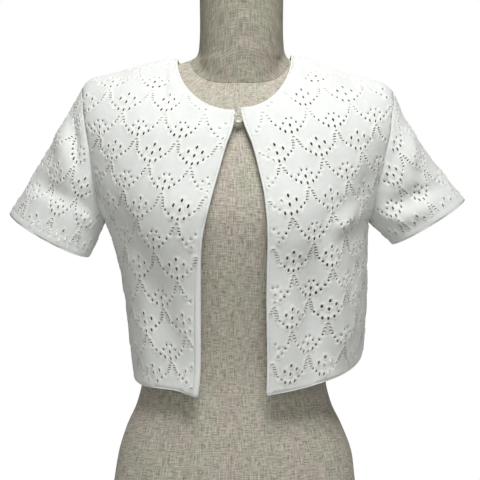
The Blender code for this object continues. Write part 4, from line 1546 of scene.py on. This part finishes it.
class StageSettings(bpy.types.PropertyGroup):
    """The floor and the light."""

    floor_colour: bpy.props.FloatVectorProperty(
        name="Floor colour", description="Colour of the pale floor",
        default=(0.8, 0.8, 0.8), subtype="COLOR", min=0, max=1)
    key_power: bpy.props.FloatProperty(
        name="Key light", description="Power of the large light above the front",
        default=13.6, min=0, max=200, unit="POWER")
    fill_power: bpy.props.FloatProperty(
        name="Fill light", description="Power of the weak light at the front",
        default=4.5, min=0, max=200, unit="POWER")
    back_power: bpy.props.FloatProperty(
        name="Back light", description="Power of the light above the back",
        default=16, min=0, max=200, unit="POWER")
    sky: bpy.props.FloatProperty(
        name="Room light", description="Strength of the even light from all round",
        default=0.25, min=0, max=2, subtype="FACTOR")


def cloth_finish():
    look = bpy.context.scene.cardigan
    return bpy.data.materials.get("Pointelle jersey") or jersey_finish(
        "Pointelle jersey", tuple(look.cloth_colour), True)


def plain_finish():
    look = bpy.context.scene.cardigan
    return bpy.data.materials.get("Plain jersey") or jersey_finish(
        "Plain jersey", tuple(look.plain_colour), False)


def dress_node(name, finish):
    """Give a node of the frame its finish."""
    piece = bpy.data.objects[name]
    piece.data.materials.clear()
    piece.data.materials.append(finish)


# Operators
class CARDIGAN_OT_stage(bpy.types.Operator):
    """Set up the floor, the light and the camera"""

    bl_idname = "cardigan.stage"
    bl_label = "Stage"

    def execute(self, context):
        look = context.scene.cardigan_stage
        bpy.ops.object.select_all(action="DESELECT")
        bpy.ops.mesh.primitive_circle_add(vertices=96, radius=0.56, fill_type="NGON")
        floor = context.object
        floor.name = "floor"
        colour = tuple(look.floor_colour)
        finish, tree, shader = new_finish("Pale floor", colour, 0.9)
        add_clouds(tree, shader, colour, (8, 8, 8), 0.97, 0.4, 0.6)
        floor.data.materials.append(finish)
        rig.stage(floor)

        for name, place, power, size in (
            ("key_light", (0.09, -0.75, 1.4), look.key_power, 0.6),
            ("fill_light", (0.1, -2.3, 0.8), look.fill_power, 1.0),
            ("back_light", (0.0, 1.7, 1.6), look.back_power, 1.2),
        ):
            light = bpy.data.lights.new(name, "AREA")
            light.shape = "DISK"
            light.size = size
            light.energy = power
            lamp = bpy.data.objects.new(name, light)
            lamp.location = place
            toward = Vector((0, 0, 0.4)) - Vector(place)
            lamp.rotation_euler = toward.to_track_quat("-Z", "Y").to_euler()
            context.scene.collection.objects.link(lamp)

        world = bpy.data.worlds.new("White room")
        world.use_nodes = True
        tree = world.node_tree
        shown = tree.nodes["Background"]
        room = add_node(tree, "ShaderNodeBackground", [("Strength", look.sky)])
        path = add_node(tree, "ShaderNodeLightPath")
        mix = add_node(tree, "ShaderNodeMixShader")
        shown.inputs["Color"].default_value = (1, 1, 1, 1)
        room.inputs["Color"].default_value = (1.0, 0.99, 0.92, 1)
        tree.links.new(path.outputs["Is Camera Ray"], mix.inputs[0])
        tree.links.new(room.outputs["Background"], mix.inputs[1])
        tree.links.new(shown.outputs["Background"], mix.inputs[2])
        tree.links.new(mix.outputs["Shader"], tree.nodes["World Output"].inputs["Surface"])
        context.scene.world = world
        context.scene.view_settings.view_transform = "Standard"

        view = bpy.data.cameras.new("camera")
        view.lens = 112.5
        view.sensor_width = 36
        camera = bpy.data.objects.new("camera", view)
        camera.location = (0.0048, -1.8, 0.384)
        camera.rotation_euler = (math.pi / 2, 0, 0)
        context.scene.collection.objects.link(camera)
        context.scene.camera = camera
        return {"FINISHED"}


class CARDIGAN_OT_form(bpy.types.Operator):
    """Make the dress form's linen cover, and finish its cap and base board"""

    bl_idname = "cardigan.form"
    bl_label = "Dress form"

    def execute(self, context):
        look = context.scene.cardigan_form
        linen = linen_finish("Slubby linen", tuple(look.linen_colour), tuple(look.slub_colour))
        neck_linen = linen_finish(
            "Neck linen", tuple(look.neck_colour), tuple(look.slub_colour))
        cover = new_piece("form_cover", form_mesh("form_cover"), linen, "linen", "dress_form")
        cover.data.materials.append(neck_linen)
        wood = wood_finish("Pale wood", tuple(look.wood_colour))
        dress_node("neck_cap", wood)
        dress_node("base_board", wood)
        return {"FINISHED"}


class CARDIGAN_OT_back(bpy.types.Operator):
    """Make the back and its turned edges"""

    bl_idname = "cardigan.back"
    bl_label = "Back"

    def execute(self, context):
        look = context.scene.cardigan
        cloth = FlatCloth(back_surface())
        piece = cloth_piece("back", cloth, BACK_BANDS, LEFT, 0.0, look.hem)
        first = round(NECK_SHARE * COLUMNS)
        neck = row_line(cloth, -1)[first:-first]
        declare_cloth(piece, cloth, ["form_cover"], (
            even_roll("back_neck_edge", neck, NECK_ROLL_DEPTH, NECK_ROLL_WIDTH),
            even_roll("back_hem_edge", row_line(cloth, 0), HEM_ROLL_DEPTH, HEM_ROLL_WIDTH),
        ))
        return {"FINISHED"}


class CARDIGAN_OT_fronts(bpy.types.Operator):
    """Make the two fronts, their turned edges and their facings"""

    bl_idname = "cardigan.fronts"
    bl_label = "Fronts"

    def execute(self, context):
        look = context.scene.cardigan
        for side in (RIGHT, LEFT):
            panel = "front_" + side_name(side)
            cloth = FlatCloth(half_surface(side, FRONT))
            piece = cloth_piece(panel, cloth, FRONT_BANDS[side], side, EYELET_LEANS[side], look.hem)
            neck, down = edge_places(cloth)
            line = [(point, way) for point, way, _ in neck + down]
            widths = [front_roll_width(side, point.z) for point, _ in line]
            declare_cloth(piece, cloth, ["form_cover"], (
                roll_piece(panel + "_edge", line, NECK_ROLL_DEPTH, widths, EDGE_SWELL),
                even_roll(panel + "_hem_edge", row_line(cloth, 0), HEM_ROLL_DEPTH, HEM_ROLL_WIDTH),
            ))

            facing = "facing_" + side_name(side)
            data = facing_mesh(facing + "_cloth", cloth, side)
            strip = new_piece(facing + "_cloth", data, plain_finish(), "plain_jersey", facing)
            length = running_length([flat for _, _, flat in neck + down])[-1]
            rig.sheet(
                strip, flat=(FACING_WIDTH, length), held="draped",
                rests_on=["form_cover", panel + "_cloth"])
        return {"FINISHED"}


class CARDIGAN_OT_sleeves(bpy.types.Operator):
    """Make the two short sleeves and their turned hems"""

    bl_idname = "cardigan.sleeves"
    bl_label = "Sleeves"

    def execute(self, context):
        look = context.scene.cardigan
        for side in (RIGHT, LEFT):
            node = "sleeve_" + side_name(side)
            cloth = FlatCloth(sleeve_surface(side))
            piece = cloth_piece(node, cloth, SLEEVE_BANDS[side], side, 0.0, look.cuff)
            front = "front_" + side_name(side) + "_cloth"
            declare_cloth(piece, cloth, [front, "back_cloth"], (
                even_roll(node + "_hem_edge", row_line(cloth, 0), HEM_ROLL_DEPTH, HEM_ROLL_WIDTH),
                even_roll(node + "_seam", row_line(cloth, -1), SEAM_ROLL_DEPTH, SEAM_ROLL_WIDTH),
            ))
        return {"FINISHED"}


class CARDIGAN_OT_fastening(bpy.types.Operator):
    """Make the button and its thread loop, and finish the shank"""

    bl_idname = "cardigan.fastening"
    bl_label = "Button and loop"

    def execute(self, context):
        look = context.scene.cardigan
        pearl_button(pearl_finish("Pearl", tuple(look.pearl_colour)))
        thread = thread_finish("White thread", tuple(look.thread_colour))
        thread_loop(thread)
        dress_node("button_shank", thread)
        return {"FINISHED"}


class CARDIGAN_PT_panel(bpy.types.Panel):
    """The steps that make the cardigan, with its sizes and colours"""

    bl_idname = "CARDIGAN_PT_panel"
    bl_label = "Pointelle cardigan"
    bl_space_type = "VIEW_3D"
    bl_region_type = "UI"
    bl_category = "Cardigan"

    def draw(self, context):
        scene = context.scene
        for group in (scene.cardigan, scene.cardigan_form, scene.cardigan_stage):
            box = self.layout.box()
            for key in group.__annotations__:
                box.prop(group, key)
        for operator in OPERATORS:
            self.layout.operator(operator.bl_idname)


OPERATORS = (
    CARDIGAN_OT_stage,
    CARDIGAN_OT_form,
    CARDIGAN_OT_back,
    CARDIGAN_OT_fronts,
    CARDIGAN_OT_sleeves,
    CARDIGAN_OT_fastening,
)
CLASSES = (CardiganSettings, FormSettings, StageSettings, *OPERATORS, CARDIGAN_PT_panel)


def register():
    for made in CLASSES:
        bpy.utils.register_class(made)
    bpy.types.Scene.cardigan = bpy.props.PointerProperty(type=CardiganSettings)
    bpy.types.Scene.cardigan_form = bpy.props.PointerProperty(type=FormSettings)
    bpy.types.Scene.cardigan_stage = bpy.props.PointerProperty(type=StageSettings)


def unregister():
    del bpy.types.Scene.cardigan
    del bpy.types.Scene.cardigan_form
    del bpy.types.Scene.cardigan_stage
    for made in reversed(CLASSES):
        bpy.utils.unregister_class(made)


def main():
    register()
    bpy.ops.cardigan.stage()
    bpy.ops.cardigan.form()
    bpy.ops.cardigan.back()
    bpy.ops.cardigan.fronts()
    bpy.ops.cardigan.sleeves()
    bpy.ops.cardigan.fastening()
    sizes = {"cad": [list(corner) for corner in CAD_BOX],
             "visual": [list(corner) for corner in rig.bounds()]}
    with open("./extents.json", "w") as out:
        json.dump(sizes, out, indent=1)


if __name__ == "__main__":
    main()
